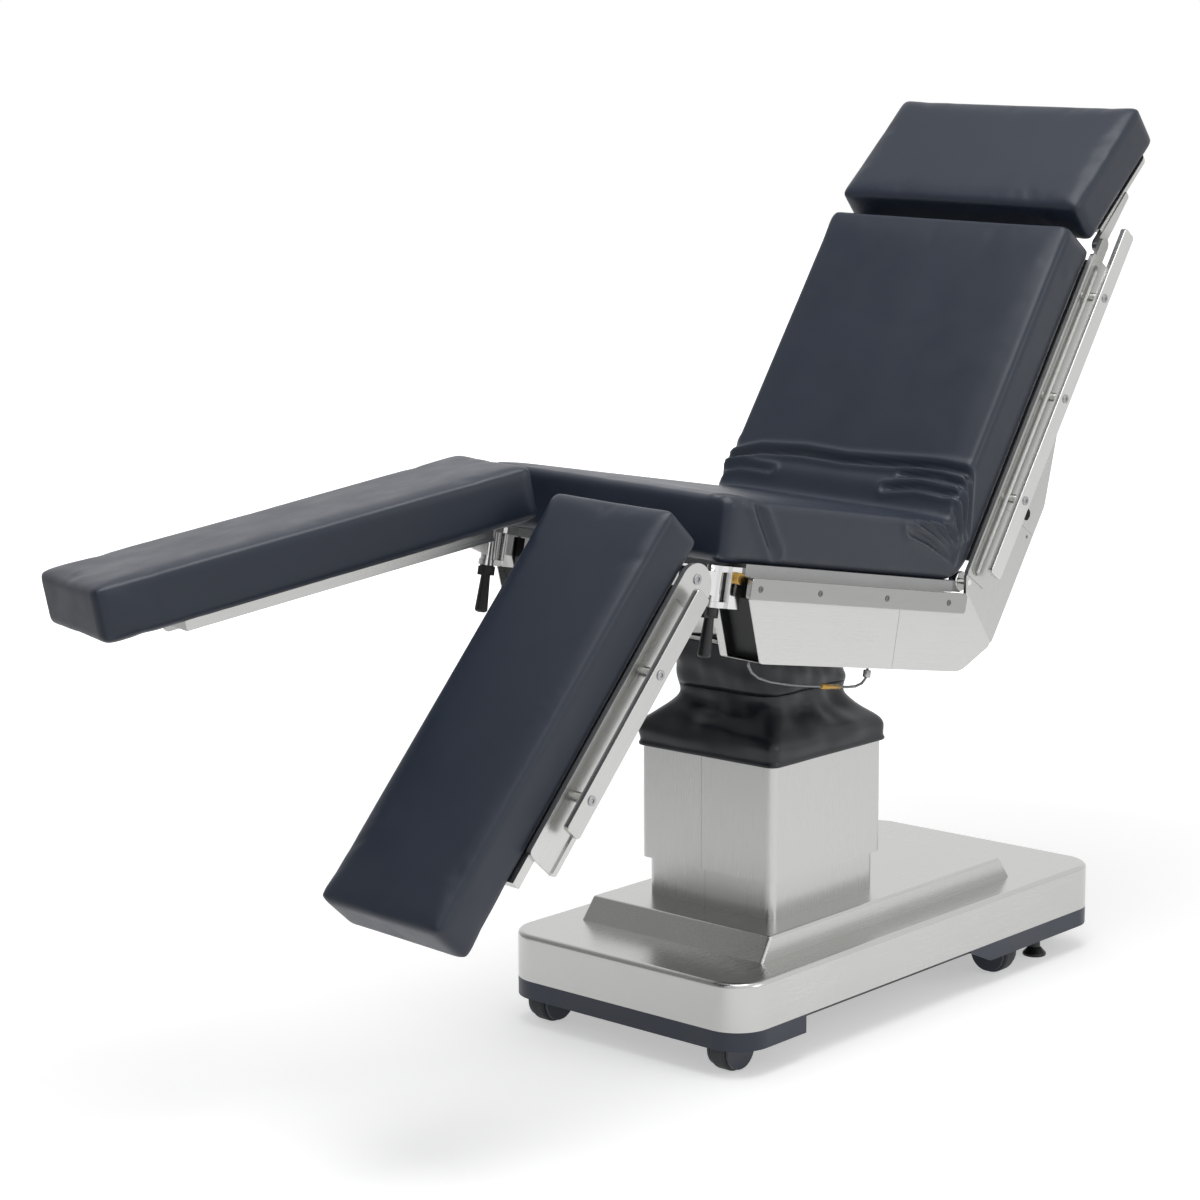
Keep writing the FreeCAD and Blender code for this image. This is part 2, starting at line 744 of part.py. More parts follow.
def make_back_side():
    # Side of the back: gusset that folds into the seat housing, grooved bar and the head hinge's ear
    y0 = back_plate_inner
    y1 = y0 + back_bar_thickness
    gusset = [(gusset_nose[0], gusset_nose[1], 6), (gusset_heel[0], gusset_heel[1], 10),
              (gusset_knee[0], gusset_knee[1], 30), (gusset_bend[0], gusset_bend[1], 30),
              (gusset_tip[0], gusset_tip[1], 10), (gusset_tip[0], gusset_lip[1], 4),
              (gusset_lip[0], gusset_lip[1], 6)]
    plate = prism_across(gusset, y0, plate_outer)
    bar = prism_across(rectangle(back_bar_start, back_bar_end, back_bar_bottom, back_bar_top, 6), y0, y1)
    hx, hz = head_hinge
    r = head_knuckle
    root = back_bar_end - head_ear_overlap
    ear = [(root, hz - r, 0), (hx + r, hz - r, r - 0.1), (hx + r, hz + r, r - 0.1), (root, hz + r, 0)]
    side = plate.fuse([bar, prism_across(ear, y0, y1)])
    radius = (back_groove_half ** 2 + back_groove_depth ** 2) / (2 * back_groove_depth)
    middle = y1 + radius - back_groove_depth
    first = vector(back_groove_start + back_groove_half, middle, back_groove_centre)
    last = vector(back_groove_end - back_groove_half, middle, back_groove_centre)
    groove = cylinder(radius, first, last).fuse([Part.makeSphere(radius, first), Part.makeSphere(radius, last)])
    seam_end = back_seam + seam_width
    seams = [box(back_seam, seam_end, plate_outer - seam_depth, plate_outer, gusset_knee[1], back_bar_bottom),
             box(back_seam, seam_end, y1 - seam_depth, y1, back_bar_bottom, back_bar_top)]
    gx, gz = gusset_hole
    sx, sz = gusset_screw
    bores = [cylinder(hinge_pin_radius + fit, vector(0, y0 - 1, 0), vector(0, panel_outer, 0)),
             cylinder(head_pin_radius + fit, vector(hx, y0 - 1, hz), vector(hx, panel_outer, hz)),
             cylinder(gusset_hole_radius, vector(gx, y0 - 1, gz), vector(gx, panel_outer, gz)),
             cylinder(gusset_screw_radius, vector(sx, plate_outer - sheet, sz), vector(sx, panel_outer, sz))]
    return side.cut([groove] + seams + bores).removeSplitter()


def make_hinge_pin():
    # Round barrel at the rear of the seat frame, with the pin that carries the back's side plate
    x, z = back_hinge
    barrel = cylinder(hinge_barrel_radius, vector(x, hinge_barrel_inner, z), vector(x, hinge_barrel_outer, z))
    barrel = barrel.makeFillet(hinge_barrel_edge, edges_at(barrel, lambda b: b.YMin > hinge_barrel_outer - 1))
    pin = cylinder(hinge_pin_radius, vector(x, hinge_barrel_inner, z), vector(x, plate_outer, z))
    return barrel.fuse(pin).removeSplitter()


def make_back_panel():
    # Shallow tray behind the pad
    top = back_pad_bottom - pad_gap
    low = top - back_panel_lip
    y = pad_half_width
    x0 = back_panel_start
    x1 = back_bar_end - back_panel_short
    plate = box(x0, x1, -y, y, top - sheet, top)
    lips = [box(x0, x1, y - sheet, y, low, top), box(x0, x1, -y, sheet - y, low, top),
            box(x1 - sheet, x1, -y, y, low, top)]
    return plate.fuse(lips).removeSplitter()


def make_cross_tubes():
    tubes = []
    y = back_plate_inner
    for x, z in cross_tubes:
        outer = cylinder(cross_tube_radius, vector(x, -y, z), vector(x, y, z))
        inner = cylinder(cross_tube_radius - cross_tube_wall, vector(x, -y, z), vector(x, y, z))
        tubes.append(outer.cut(inner))
    return Part.makeCompound(tubes)


def make_head_frame():
    # Plate under the head pad on two arms, with the hinge pins
    top = head_pad_top - head_pad_thickness - pad_gap
    bottom = top - head_plate_thickness
    y = pad_half_width
    r = head_knuckle
    edge = y - head_arm_width / 2
    plate = prism_up([(r + 8, -edge, 0), (head_plate_reach, -edge, 20), (head_plate_reach, edge, 20),
                      (r + 8, edge, 0)], bottom, top)
    parts = []
    for side in (-1, 1):
        arm = prism_across([(0, -r, 0), (head_arm_reach, bottom - 6, 4), (head_arm_reach, top - 2, 1), (0, r, 0)],
                           y - head_arm_width, y)
        barrel = cylinder(r, vector(0, y - head_arm_width, 0), vector(0, y, 0))
        pin = cylinder(head_pin_radius, vector(0, y - head_arm_width / 2, 0),
                       vector(0, back_plate_inner + back_bar_thickness, 0))
        parts += [on_side(piece, side) for piece in (arm, barrel, pin)]
    return plate.fuse(parts)


def make_leg_bracket():
    # Block on the seat frame with two lugs and the upright spread pin
    y = spread_pin_y
    w = bracket_half_width
    x = spread_pin_x
    block = box(bracket_rear, seat_frame_front, y - w, y + w, bracket_bottom, bracket_top)
    r = bracket_half_width - 4
    lug = [(bracket_rear + 1, y - r, 0), (bracket_rear + 1, y + r, 0), (x - r, y + r, r - 0.1),
           (x - r, y - r, r - 0.1)]
    upper = prism_up(lug, bracket_top - bracket_lug, bracket_top)
    lower = prism_up(lug, bracket_bottom, bracket_bottom + bracket_lug)
    pin = cylinder(spread_pin_radius, vector(x, y, bracket_bottom), vector(x, y, bracket_top))
    return block.fuse([upper, lower, pin]).removeSplitter()


def make_thumb_screw():
    x = (bracket_rear + seat_frame_front) / 2
    y = spread_pin_y + bracket_half_width
    z = bracket_top - 16
    head = cylinder(thumb_screw_radius, vector(x, y, z), vector(x, y + thumb_screw_length, z))
    return head.makeChamfer(1.2, edges_at(head, lambda b: b.YLength < 0.1))


def make_knuckle():
    # Barrel on the spread pin and the arm that carries the drop pivot, drawn about the pin
    low = bracket_bottom + bracket_lug + slide_fit
    high = bracket_top - bracket_lug - slide_fit
    barrel = cylinder(knuckle_radius, vector(0, 0, low), vector(0, 0, high))
    x = drop_pivot_x - spread_pin_x
    r = knuckle_end_radius
    z = drop_pivot_z
    w = knuckle_arm_half
    end = cylinder(r, vector(x, -w, z), vector(x, w, z))
    arm = prism_across([(x, z - r, 0), (0, low + 4, 0), (0, high, 0), (x + r, high, 4), (x, z + r, 0)], -w, w)
    knuckle = barrel.fuse([end, arm])
    bores = [cylinder(spread_pin_radius + fit, vector(0, 0, low), vector(0, 0, high)),
             cylinder(drop_pin_radius + fit, vector(x, -w, z), vector(x, w, z))]
    return knuckle.cut(bores).removeSplitter()


def make_lock_lever():
    # Winged boss and a tapered grip hanging below the spread pin
    top = bracket_bottom - axial_gap
    boss = cylinder(lever_boss_radius, vector(0, 0, top - lever_boss_height), vector(0, 0, top))
    wing = box(-17, 17, -4, 4, top - lever_boss_height - 4, top - 2)
    wing = wing.makeFillet(3, edges_at(wing, lambda b: b.ZLength > 1))
    grip = [(0, top - lever_boss_height, 0), (7, top - lever_boss_height, 0), (10.5, top - lever_length, 5),
            (0, top - lever_length, 0)]
    wire = outline(grip, lambda p: vector(p.x, 0, p.y))
    grip = Part.Face(wire).revolve(vector(0, 0, 0), Z, 360)
    return boss.fuse([wing, grip]).removeSplitter()


def make_leg_side():
    # Channel-shaped side bar with a round hip end, its pivot boss and pin
    y0 = leg_plate_inner
    y1 = y0 + leg_plate_thickness
    low = leg_plate_low
    high = leg_plate_high
    r = (high - low) / 2
    hip = r - 25
    bar = prism_across([(-leg_plate_end, low, 6), (hip, low, r - 0.1), (hip, high, r - 0.1),
                        (-leg_plate_end, high, 6)], y0, y1)
    m = leg_channel_margin
    channel = prism_across(rectangle(-leg_plate_end - 1, -r - 25, low + m, high - m, 6),
                           y1 - leg_channel_depth, y1)
    bar = bar.cut(channel)
    start = spread_pin_y + knuckle_arm_half + axial_gap
    boss = cylinder(knuckle_radius, vector(0, start, 0), vector(0, y0, 0))
    pin = cylinder(drop_pin_radius, vector(0, spread_pin_y - knuckle_arm_half, 0), vector(0, y1, 0))
    return bar.fuse([boss, pin]).removeSplitter()


def make_leg_panel():
    # Folded tray that carries the leg pad
    top = leg_pad_bottom - pad_gap
    y0 = leg_panel_inner
    y1 = leg_plate_inner
    x0 = -leg_panel_end
    x1 = -leg_panel_start
    tray = box(x0, x1, y0, y1, top - leg_panel_depth, top)
    return tray.cut(box(x0 + sheet, x1 - sheet, y0 + sheet, y1 - sheet, top - leg_panel_depth, top - sheet))


def make_leg_spacers():
    z = leg_rail_bottom + rail_height / 2
    y0 = leg_plate_inner + leg_plate_thickness - leg_channel_depth
    return Part.makeCompound(make_spacers([-x for x in leg_spacers], z, y0))


def write_base():
    export("base_chassis", make_chassis())
    export("base_cover", make_base_cover())
    export("bumper_foot_end", make_bumper(base_foot_end, base_foot_end + bumper_foot_reach))
    skirt_end = base_head_end - bumper_head_reach
    slope = [(skirt_end - 1, bumper_bottom - 1, 0), (skirt_end + bumper_head_slope[0], bumper_bottom - 1, 0),
             (skirt_end - 1, bumper_bottom + bumper_head_slope[1], 0)]
    skirt = make_bumper(skirt_end, base_head_end)
    export("bumper_head_end", skirt.cut(prism_across(slope, -base_width, base_width)))
    export("plinth_cover", make_plinth())
    export("column_lower_cover", make_lower_cover())
    export("column_guide", square_tube(guide_half, guide_wall, base_bottom, guide_top, 4))
    export("lift_barrel", make_lift_barrel())
    export("brake_feet", Part.makeCompound([make_brake_foot(x, y) for x, y in foot_centres()]))
    for name, x, y, angle in caster_places():
        pose = at(x, y, 0) * turn(Z, angle)
        export("caster_fork_" + name, make_fork(), pose)
        export("caster_wheel_" + name, make_wheel(), pose * at(-caster_trail, 0, wheel_height))


def write_column():
    export("column_upper_cover", make_upper_cover())
    export("column_slide", square_tube(slide_half, slide_wall, slide_bottom, lid_bottom, 4 - slide_fit))
    export("lift_rod", cylinder(rod_radius, vector(0, 0, rod_bottom), vector(0, 0, upper_cover_top)))
    export("column_head", make_column_head())
    export("boot", make_boot())
    export("tilt_cross", make_cross(), cross_pose)


def write_seat():
    export("seat_frame", make_seat_frame(), seat_pose)
    export("seat_tray", make_tray(), seat_pose)
    export("seat_pad", make_seat_pad(), seat_pose)
    caps = []
    screws = []
    pins = []
    for name, side in sides.items():
        export("seat_side_panel_" + name, on_side(make_side_panel(), side), seat_pose)
        rail = make_rail(seat_rail_front, seat_rail_rear, -rail_height, panel_outer + rail_thickness)
        export("seat_rail_" + name, on_side(rail, side), seat_pose)
        export("leg_bracket_" + name, on_side(make_leg_bracket(), side), seat_pose)
        caps.append(on_side(make_end_cap(), side))
        screws.append(on_side(make_thumb_screw(), side))
        pins.append(on_side(make_hinge_pin(), side))
    export("seat_end_caps", Part.makeCompound(caps), seat_pose)
    export("thumb_screws", Part.makeCompound(screws), seat_pose)
    export("back_hinge_pins", Part.makeCompound(pins), seat_pose)


def write_back():
    spacers = []
    for name, side in sides.items():
        export("back_side_" + name, on_side(make_back_side(), side), back_pose)
        rail = make_rail(back_rail_start, back_rail_end, back_rail_top - rail_height, rail_outer)
        export("back_rail_" + name, on_side(rail, side), back_pose)
        z = back_rail_top - rail_height / 2
        group = make_spacers(back_spacers, z, back_plate_inner + back_bar_thickness)
        spacers += [on_side(spacer, side) for spacer in group]
    export("back_rail_spacers", Part.makeCompound(spacers), back_pose)
    export("back_panel", make_back_panel(), back_pose)
    export("back_cross_tubes", make_cross_tubes(), back_pose)
    export("back_pad", make_back_pad(), back_pose)
    export("head_frame", make_head_frame(), head_pose)
    export("head_pad", make_head_pad(), head_pose)


def write_leg(name, side):
    export("leg_knuckle_" + name, make_knuckle(), spread_pose(name))
    lever_pose = seat_pose * at(spread_pin_x, side * spread_pin_y, 0)
    export("leg_lock_lever_" + name, make_lock_lever(), lever_pose)
    pose = leg_pose(name)
    export("leg_side_" + name, on_side(make_leg_side(), side), pose)
    export("leg_panel_" + name, on_side(make_leg_panel(), side), pose)
    rail = make_rail(-leg_rail_end, -leg_rail_start, leg_rail_bottom, rail_outer)
    export("leg_rail_" + name, on_side(rail, side), pose)
    export("leg_rail_spacers_" + name, on_side(make_leg_spacers(), side), pose)
    export("leg_pad_" + name, on_side(make_leg_pad(), side), pose)


os.makedirs("parts", exist_ok=True)
write_base()
write_column()
write_seat()
write_back()
for side_name, side_sign in sides.items():
    write_leg(side_name, side_sign)
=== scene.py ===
import json
import math
import bpy
import numpy as np
from mathutils import Matrix, Vector


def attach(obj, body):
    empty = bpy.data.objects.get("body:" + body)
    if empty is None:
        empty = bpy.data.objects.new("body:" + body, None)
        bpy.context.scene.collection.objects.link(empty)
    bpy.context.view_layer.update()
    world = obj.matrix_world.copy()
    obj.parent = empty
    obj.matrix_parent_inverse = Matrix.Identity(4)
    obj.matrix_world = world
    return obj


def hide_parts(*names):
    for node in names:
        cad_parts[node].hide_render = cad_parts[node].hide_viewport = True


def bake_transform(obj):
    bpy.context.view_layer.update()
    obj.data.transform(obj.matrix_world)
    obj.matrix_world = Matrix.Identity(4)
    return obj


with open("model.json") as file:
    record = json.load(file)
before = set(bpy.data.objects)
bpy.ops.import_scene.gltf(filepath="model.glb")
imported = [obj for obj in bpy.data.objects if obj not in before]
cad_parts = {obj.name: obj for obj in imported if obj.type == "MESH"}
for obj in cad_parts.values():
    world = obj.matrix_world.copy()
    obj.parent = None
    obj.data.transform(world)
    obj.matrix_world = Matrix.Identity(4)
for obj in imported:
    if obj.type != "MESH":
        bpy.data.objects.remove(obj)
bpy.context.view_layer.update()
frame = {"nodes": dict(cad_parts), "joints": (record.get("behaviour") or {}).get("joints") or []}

nodes = frame["nodes"]

# Room
# White paper floor under soft lamps. The camera sees plain white, and the floor's own colour stays under that
# white, so the table still stands in a soft shadow. Steel that faces the foot end mirrors a darker stretch.

floor_reach = 30.0
floor_colour = "#E6E6E6"
near_glow, far_glow = 0.44, 1.0
glow_reach = (1.5, 3.2)
dark_glow = 0.04
dark_reach = (0.8, 2.1)
dark_way = (-0.744, 0.667, 0.0)


def linear(code):
    """Turns an sRGB hex colour into linear red, green, blue and alpha."""
    channels = [int(code[i:i + 2], 16) / 255 for i in (1, 3, 5)]
    return [c / 12.92 if c <= 0.04045 else ((c + 0.055) / 1.055) ** 2.4 for c in channels] + [1.0]


def add(owner, kind, values=None, links=None, ramp=(), **settings):
    """Adds one node to a material, world or group, with its settings, values, links and ramp colours."""
    tree = getattr(owner, "node_tree", owner)
    made = tree.nodes.new(kind if "Node" in kind else "ShaderNode" + kind)
    for name, value in settings.items():
        setattr(made, name, value)
    for name, value in (values or {}).items():
        made.inputs[name].default_value = value
    for name, source in (links or {}).items():
        tree.links.new(source, made.inputs[name])
    for place, colour in enumerate(ramp):
        made.color_ramp.elements[place].color = colour
    return made


def blank(name):
    """Gives a material with no nodes."""
    made = bpy.data.materials.new(name)
    made.use_nodes = True
    made.node_tree.nodes.clear()
    return made


def mesh_object(name, points, faces, smooth=True):
    mesh = bpy.data.meshes.new(name)
    mesh.from_pydata([tuple(p) for p in points], [], faces)
    mesh.polygons.foreach_set("use_smooth", [smooth] * len(mesh.polygons))
    made = bpy.data.objects.new(name, mesh)
    bpy.context.scene.collection.objects.link(made)
    return made


floor_corners = [(x * floor_reach, y * floor_reach, 0) for x, y in ((-1, -1), (1, -1), (1, 1), (-1, 1))]
floor = mesh_object("studio_floor", floor_corners, [(0, 1, 2, 3)], smooth=False)
paper = blank("white_paper_floor")
own_colour = add(paper, "BsdfDiffuse", {"Color": linear(floor_colour)})
place = add(paper, "TexCoord")
away = add(paper, "VectorMath", links={0: place.outputs["Object"]}, operation="LENGTH")
camera_glow = add(paper, "MapRange", {"From Min": glow_reach[0], "From Max": glow_reach[1],
                                      "To Min": near_glow, "To Max": far_glow},
                  {"Value": away.outputs["Value"]})
ray = add(paper, "LightPath")
along_dark = add(paper, "VectorMath", {1: dark_way}, {0: place.outputs["Object"]}, operation="DOT_PRODUCT")
mirror_glow = add(paper, "MapRange", {"From Min": dark_reach[0], "From Max": dark_reach[1],
                                      "To Min": near_glow, "To Max": dark_glow},
                  {"Value": along_dark.outputs["Value"]})
glow = add(paper, "Mix",
           links={0: ray.outputs["Is Camera Ray"], 2: mirror_glow.outputs[0], 3: camera_glow.outputs[0]})
white = add(paper, "Emission", {"Color": (1, 1, 1, 1)}, {"Strength": glow.outputs[0]})
lit = add(paper, "AddShader", links={0: own_colour.outputs[0], 1: white.outputs[0]})
straight = add(paper, "Math", operation="MAXIMUM",
               links={0: ray.outputs["Is Camera Ray"], 1: ray.outputs["Is Glossy Ray"]})
seen = add(paper, "Math", operation="MAXIMUM",
           links={0: straight.outputs[0], 1: ray.outputs["Is Transmission Ray"]})
shown = add(paper, "MixShader", links={"Fac": seen.outputs[0], 1: own_colour.outputs[0], 2: lit.outputs[0]})
add(paper, "OutputMaterial", links={"Surface": shown.outputs[0]})
floor.data.materials.append(paper)

# The room lights the table evenly. Mirroring metal sees white, dimmer towards one side.
room_light = 0.48
dim_light = 0.34
dim_way = (-0.75, 0.55, 0.30)
dim_reach = (0.15, 0.95)
world = bpy.data.worlds.new("studio")
world.use_nodes = True
world.node_tree.nodes.clear()
bpy.context.scene.world = world
ray = add(world, "LightPath")
straight = add(world, "Math", operation="MAXIMUM",
               links={0: ray.outputs["Is Camera Ray"], 1: ray.outputs["Is Transmission Ray"]})
way = add(world, "TexCoord")
along_dim = add(world, "VectorMath", {1: dim_way}, {0: way.outputs["Generated"]}, operation="DOT_PRODUCT")
mirrored = add(world, "MapRange", {"From Min": dim_reach[0], "From Max": dim_reach[1],
                                   "To Min": 1.0, "To Max": dim_light},
               {"Value": along_dim.outputs["Value"]}, interpolation_type="SMOOTHSTEP")
cast_light = add(world, "Mix", {2: room_light}, {0: ray.outputs["Is Glossy Ray"], 3: mirrored.outputs[0]})
strength = add(world, "Mix", {3: 1.0}, {0: straight.outputs[0], 2: cast_light.outputs[0]})
sky = add(world, "Background", {"Color": (1, 1, 1, 1)}, {"Strength": strength.outputs[0]})
add(world, "OutputWorld", links={"Surface": sky.outputs[0]})

# Each lamp: its place, the point it faces, its diameter in metres and its watts
lamps = {
    "overhead": ((-0.6, -0.4, 3.6), (0.1, 0.0, 0.6), 2.6, 62),
    "right_front": ((0.8, -3.8, 2.0), (0.0, 0.0, 0.6), 2.0, 17),
    "foot_front": ((-3.6, -0.4, 2.4), (0.0, 0.0, 0.6), 1.6, 7),
}
for name, (place, target, size, watts) in lamps.items():
    lamp = bpy.data.lights.new(name, "AREA")
    lamp.shape = "DISK"
    lamp.size = size
    lamp.energy = watts
    holder = bpy.data.objects.new(name, lamp)
    holder.location = place
    holder.rotation_euler = (Vector(target) - Vector(place)).to_track_quat("-Z", "Y").to_euler()
    bpy.context.scene.collection.objects.link(holder)

# The camera stands where the photograph's perspective puts it
camera_place = (-3.5389, -2.8200, 1.4310)
camera_turn, camera_dip, camera_roll = 41.896, 9.498, 0.331
camera = bpy.data.cameras.new("camera")
camera.lens = 84.467
camera.sensor_width = 36.0
camera.clip_end = 100.0
holder = bpy.data.objects.new("camera", camera)
turn = (Matrix.Rotation(math.radians(camera_turn - 90), 4, "Z")
        @ Matrix.Rotation(math.radians(90 - camera_dip), 4, "X")
        @ Matrix.Rotation(math.radians(-camera_roll), 4, "Z"))
holder.matrix_world = Matrix.Translation(camera_place) @ turn
bpy.context.scene.collection.objects.link(holder)
bpy.context.scene.camera = holder
bpy.context.scene.view_settings.view_transform = "Standard"

# Sections of the table top
# The table top is five sections hinged to each other. Each has its own axes: x towards the head end,
# y to the patient's right and z out of the pad, found from the places and rest angles of the joints.

joints = {joint["name"]: joint for joint in frame["joints"]}
sides = {"left": -1, "right": 1}
back_hinge = Vector((0.214, 0, 0.018))
spread_hinge_x, spread_hinge_y = -0.405, 0.229
drop_hinge_x, drop_hinge_z = -0.055, -0.004


def rest_angle(name):
    """Angle in radians by which a joint stands off its lower limit in the photograph."""
    return math.radians(-min(joints[name]["range_deg"]))


def axes(x, y, z, origin):
    made = Matrix((x, y, z)).transposed().to_4x4()
    made.translation = origin
    return made


tilt_way = Vector(joints["lateral_tilt"]["axis"]).normalized()
across_way = -Vector(joints["back_raise"]["axis"]).normalized()
hinge_place = Vector(joints["back_raise"]["pos_m"])
seat = axes(tilt_way, across_way, tilt_way.cross(across_way), hinge_place) @ Matrix.Translation(-back_hinge)
back = seat @ Matrix.Translation(back_hinge) @ Matrix.Rotation(-rest_angle("back_raise"), 4, "Y")
head_turn = back.to_3x3() @ Matrix.Rotation(rest_angle("head_recline"), 3, "Y")
head = Matrix.Translation(Vector(joints["head_recline"]["pos_m"])) @ head_turn.to_4x4()
leg = {}
for name, side in sides.items():
    spread = (seat @ Matrix.Translation((spread_hinge_x, side * spread_hinge_y, 0))
              @ Matrix.Rotation(-side * rest_angle("leg_spread_" + name), 4, "Z"))
    leg[name] = (spread @ Matrix.Translation((drop_hinge_x, -side * spread_hinge_y, drop_hinge_z))
                 @ Matrix.Rotation(-rest_angle("leg_drop_" + name), 4, "Y"))

# Base covers
# The base's folded cover and the low pan around the column are stainless sheet, welded at the corners and
# belt-brushed along the base. The scratches smear reflections across them; wiping leaves cloudy patches.

# Grain is the size in metres of one scratch along each axis. A real belt line is about 0.1 mm wide and too
# fine to show, so it is drawn 1.2 mm wide.
along_grain = (0.12, 0.0012, 0.0012)
noise_span = {"From Min": 0.3, "From Max": 0.7}


def brushed(name, grain, light, dark, turned=Matrix(), roughness=(0.24, 0.36), depth=0.06):
    """Belt-brushed stainless steel, with its grain along the axes of the turned piece."""
    made = blank(name)
    place = add(made, "TexCoord")
    grain_space = add(made, "Mapping",
                      {"Location": turned.translation, "Rotation": turned.to_euler(), "Scale": grain},
                      {"Vector": place.outputs["Object"]}, vector_type="TEXTURE")
    scratch = add(made, "TexNoise", {"Scale": 1.0, "Detail": 3.0, "Roughness": 0.6},
                  {"Vector": grain_space.outputs[0]})
    cloud = add(made, "TexNoise", {"Scale": 7.0, "Detail": 2.0, "Roughness": 0.5},
                {"Vector": place.outputs["Object"]})
    blur = add(made, "Mix", {0: 0.35}, {2: scratch.outputs[0], 3: cloud.outputs[0]})
    shine = add(made, "MapRange", {**noise_span, "To Min": roughness[0], "To Max": roughness[1]},
                {"Value": blur.outputs[0]})
    tone = add(made, "ValToRGB", links={"Fac": blur.outputs[0]}, ramp=(linear(dark), linear(light)))
    relief = add(made, "Bump", {"Strength": depth, "Distance": 0.0004}, {"Height": scratch.outputs[0]})
    shader = add(made, "BsdfPrincipled", {"Metallic": 1.0},
                 {"Base Color": tone.outputs[0], "Roughness": shine.outputs[0], "Normal": relief.outputs[0]})
    add(made, "OutputMaterial", links={"Surface": shader.outputs[0]})
    return made


def dress(material, *names):
    """Gives one material to CAD nodes."""
    for name in names:
        nodes[name].data.materials.clear()
        nodes[name].data.materials.append(material)


base_steel = brushed("stainless_base_cover_satin", along_grain, "#C9C9C7", "#B4B4B2",
                     roughness=(0.20, 0.30), depth=0.03)
dress(base_steel, "base_cover", "plinth_cover")

# Column covers
# Two square covers of stainless sheet slide inside each other as the table rises. They are brushed upright,
# so their faces run in even vertical streaks.

upright_grain = (0.0012, 0.0012, 0.10)
column_steel = brushed("stainless_column_brushed", upright_grain, "#C6C6C5", "#BBBBBA", depth=0.02)
dress(column_steel, "column_lower_cover", "column_upper_cover")

# Seat box
# Side panels and tray of stainless sheet, folded and brushed along the table, close the frame under the seat.
# Beside each end cap the folded edge of the housing's inner wall is open to view.

seat_steel = brushed("stainless_seat_box_satin", along_grain, "#D6D6D4", "#C8C8C6", seat)
dress(seat_steel, "seat_side_panel_left", "seat_side_panel_right", "seat_tray")

# The edge's line along the seat in x and z, its reach across the seat and its thickness
edge_line = ((-0.3580, -0.0015), (-0.3580, -0.0330), (-0.3125, -0.1255))
edge_inner, edge_outer, edge_thickness = 0.1872, 0.1990, 0.0016
edge_section = ((0, edge_inner), (0, edge_outer), (edge_thickness, edge_outer), (edge_thickness, edge_inner))
for name, side in sides.items():
    points = [seat @ Vector((x + shift, side * y, z)) for x, z in edge_line for shift, y in edge_section]
    walls = [(a + i, a + (i + 1) % 4, a + 4 + (i + 1) % 4, a + 4 + i) for a in (0, 4) for i in range(4)]
    caps = [(3, 2, 1, 0), (8, 9, 10, 11)]
    strip = mesh_object("steel_housing_edge_" + name, points, walls + caps, smooth=False)
    if side < 0:
        strip.data.flip_normals()
    strip.data.materials.append(seat_steel)
    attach(strip, "seat")

# Back and head frame
# Side bars with their gussets, cross tubes and plates of stainless steel, welded and brushed along the
# section.

back_steel = brushed("stainless_back_frame_satin", along_grain, "#CCCCCA", "#BCBCBA", back)
dress(back_steel, "back_side_left", "back_side_right", "back_panel", "head_frame", "back_cross_tubes")

# Leg frames
# Each leg section has a side bar and a plate of stainless steel, brushed along the leg.

for name in sides:
    leg_steel = brushed("stainless_leg_frame_" + name, along_grain, "#D2D2D0", "#BEBEBC", leg[name])
    dress(leg_steel, "leg_side_" + name, "leg_panel_" + name)

# Accessory rails
# Flat stainless bar on round spacers, drawn and then polished along its length, so it is smoother than the
# frames and its scratches are shorter.
# The copies of this one steel are toned apart as painted light: the seat rails darker as painted shade, the
# back rails lighter as painted light, the leg rails in between.

rail_grain = (0.06, 0.0008, 0.0008)
rail_shine = (0.16, 0.26)
# The seat rails' darker tones are painted shade, not a different steel.
seat_rail_steel_shaded = brushed("stainless_seat_rail_painted_shade", rail_grain, "#B0B0AE", "#9A9A98", seat, rail_shine)
dress(seat_rail_steel_shaded, "seat_rail_left", "seat_rail_right")
# The back rails' lighter tones are painted light, not a different steel.
back_rail_steel_lit = brushed("stainless_back_rail_painted_light", rail_grain, "#E2E2E0", "#CFCFCD", back, rail_shine)
dress(back_rail_steel_lit, "back_rail_left", "back_rail_right", "back_rail_spacers")
for name in sides:
    leg_rail_steel = brushed("stainless_leg_rail_" + name, rail_grain, "#D0D0CE", "#B4B4B2", leg[name],
                             rail_shine)
    dress(leg_rail_steel, "leg_rail_" + name, "leg_rail_spacers_" + name)

# Cast, turned and plated parts
# Brackets, knuckles and pins are chromed where the user touches them. The lift and its guides are machined
# steel, the frame and the cross joint are blasted castings, and the thumb screws are turned brass.


def metal(name, colour, roughness, grit=0.0006, depth=0.08):
    """Plain metal with a fine even surface grit of the given size in metres and faintly uneven shine."""
    made = blank(name)
    place = add(made, "TexCoord")
    speck = add(made, "TexNoise", {"Scale": 1 / grit, "Detail": 2.0}, {"Vector": place.outputs["Object"]})
    cloud = add(made, "TexNoise", {"Scale": 14.0, "Detail": 3.0}, {"Vector": place.outputs["Object"]})
    shine = add(made, "MapRange", {**noise_span, "To Min": roughness[0], "To Max": roughness[1]},
                {"Value": cloud.outputs[0]})
    relief = add(made, "Bump", {"Strength": depth, "Distance": 0.0003}, {"Height": speck.outputs[0]})
    shader = add(made, "BsdfPrincipled", {"Base Color": linear(colour), "Metallic": 1.0},
                 {"Roughness": shine.outputs[0], "Normal": relief.outputs[0]})
    add(made, "OutputMaterial", links={"Surface": shader.outputs[0]})
    return made


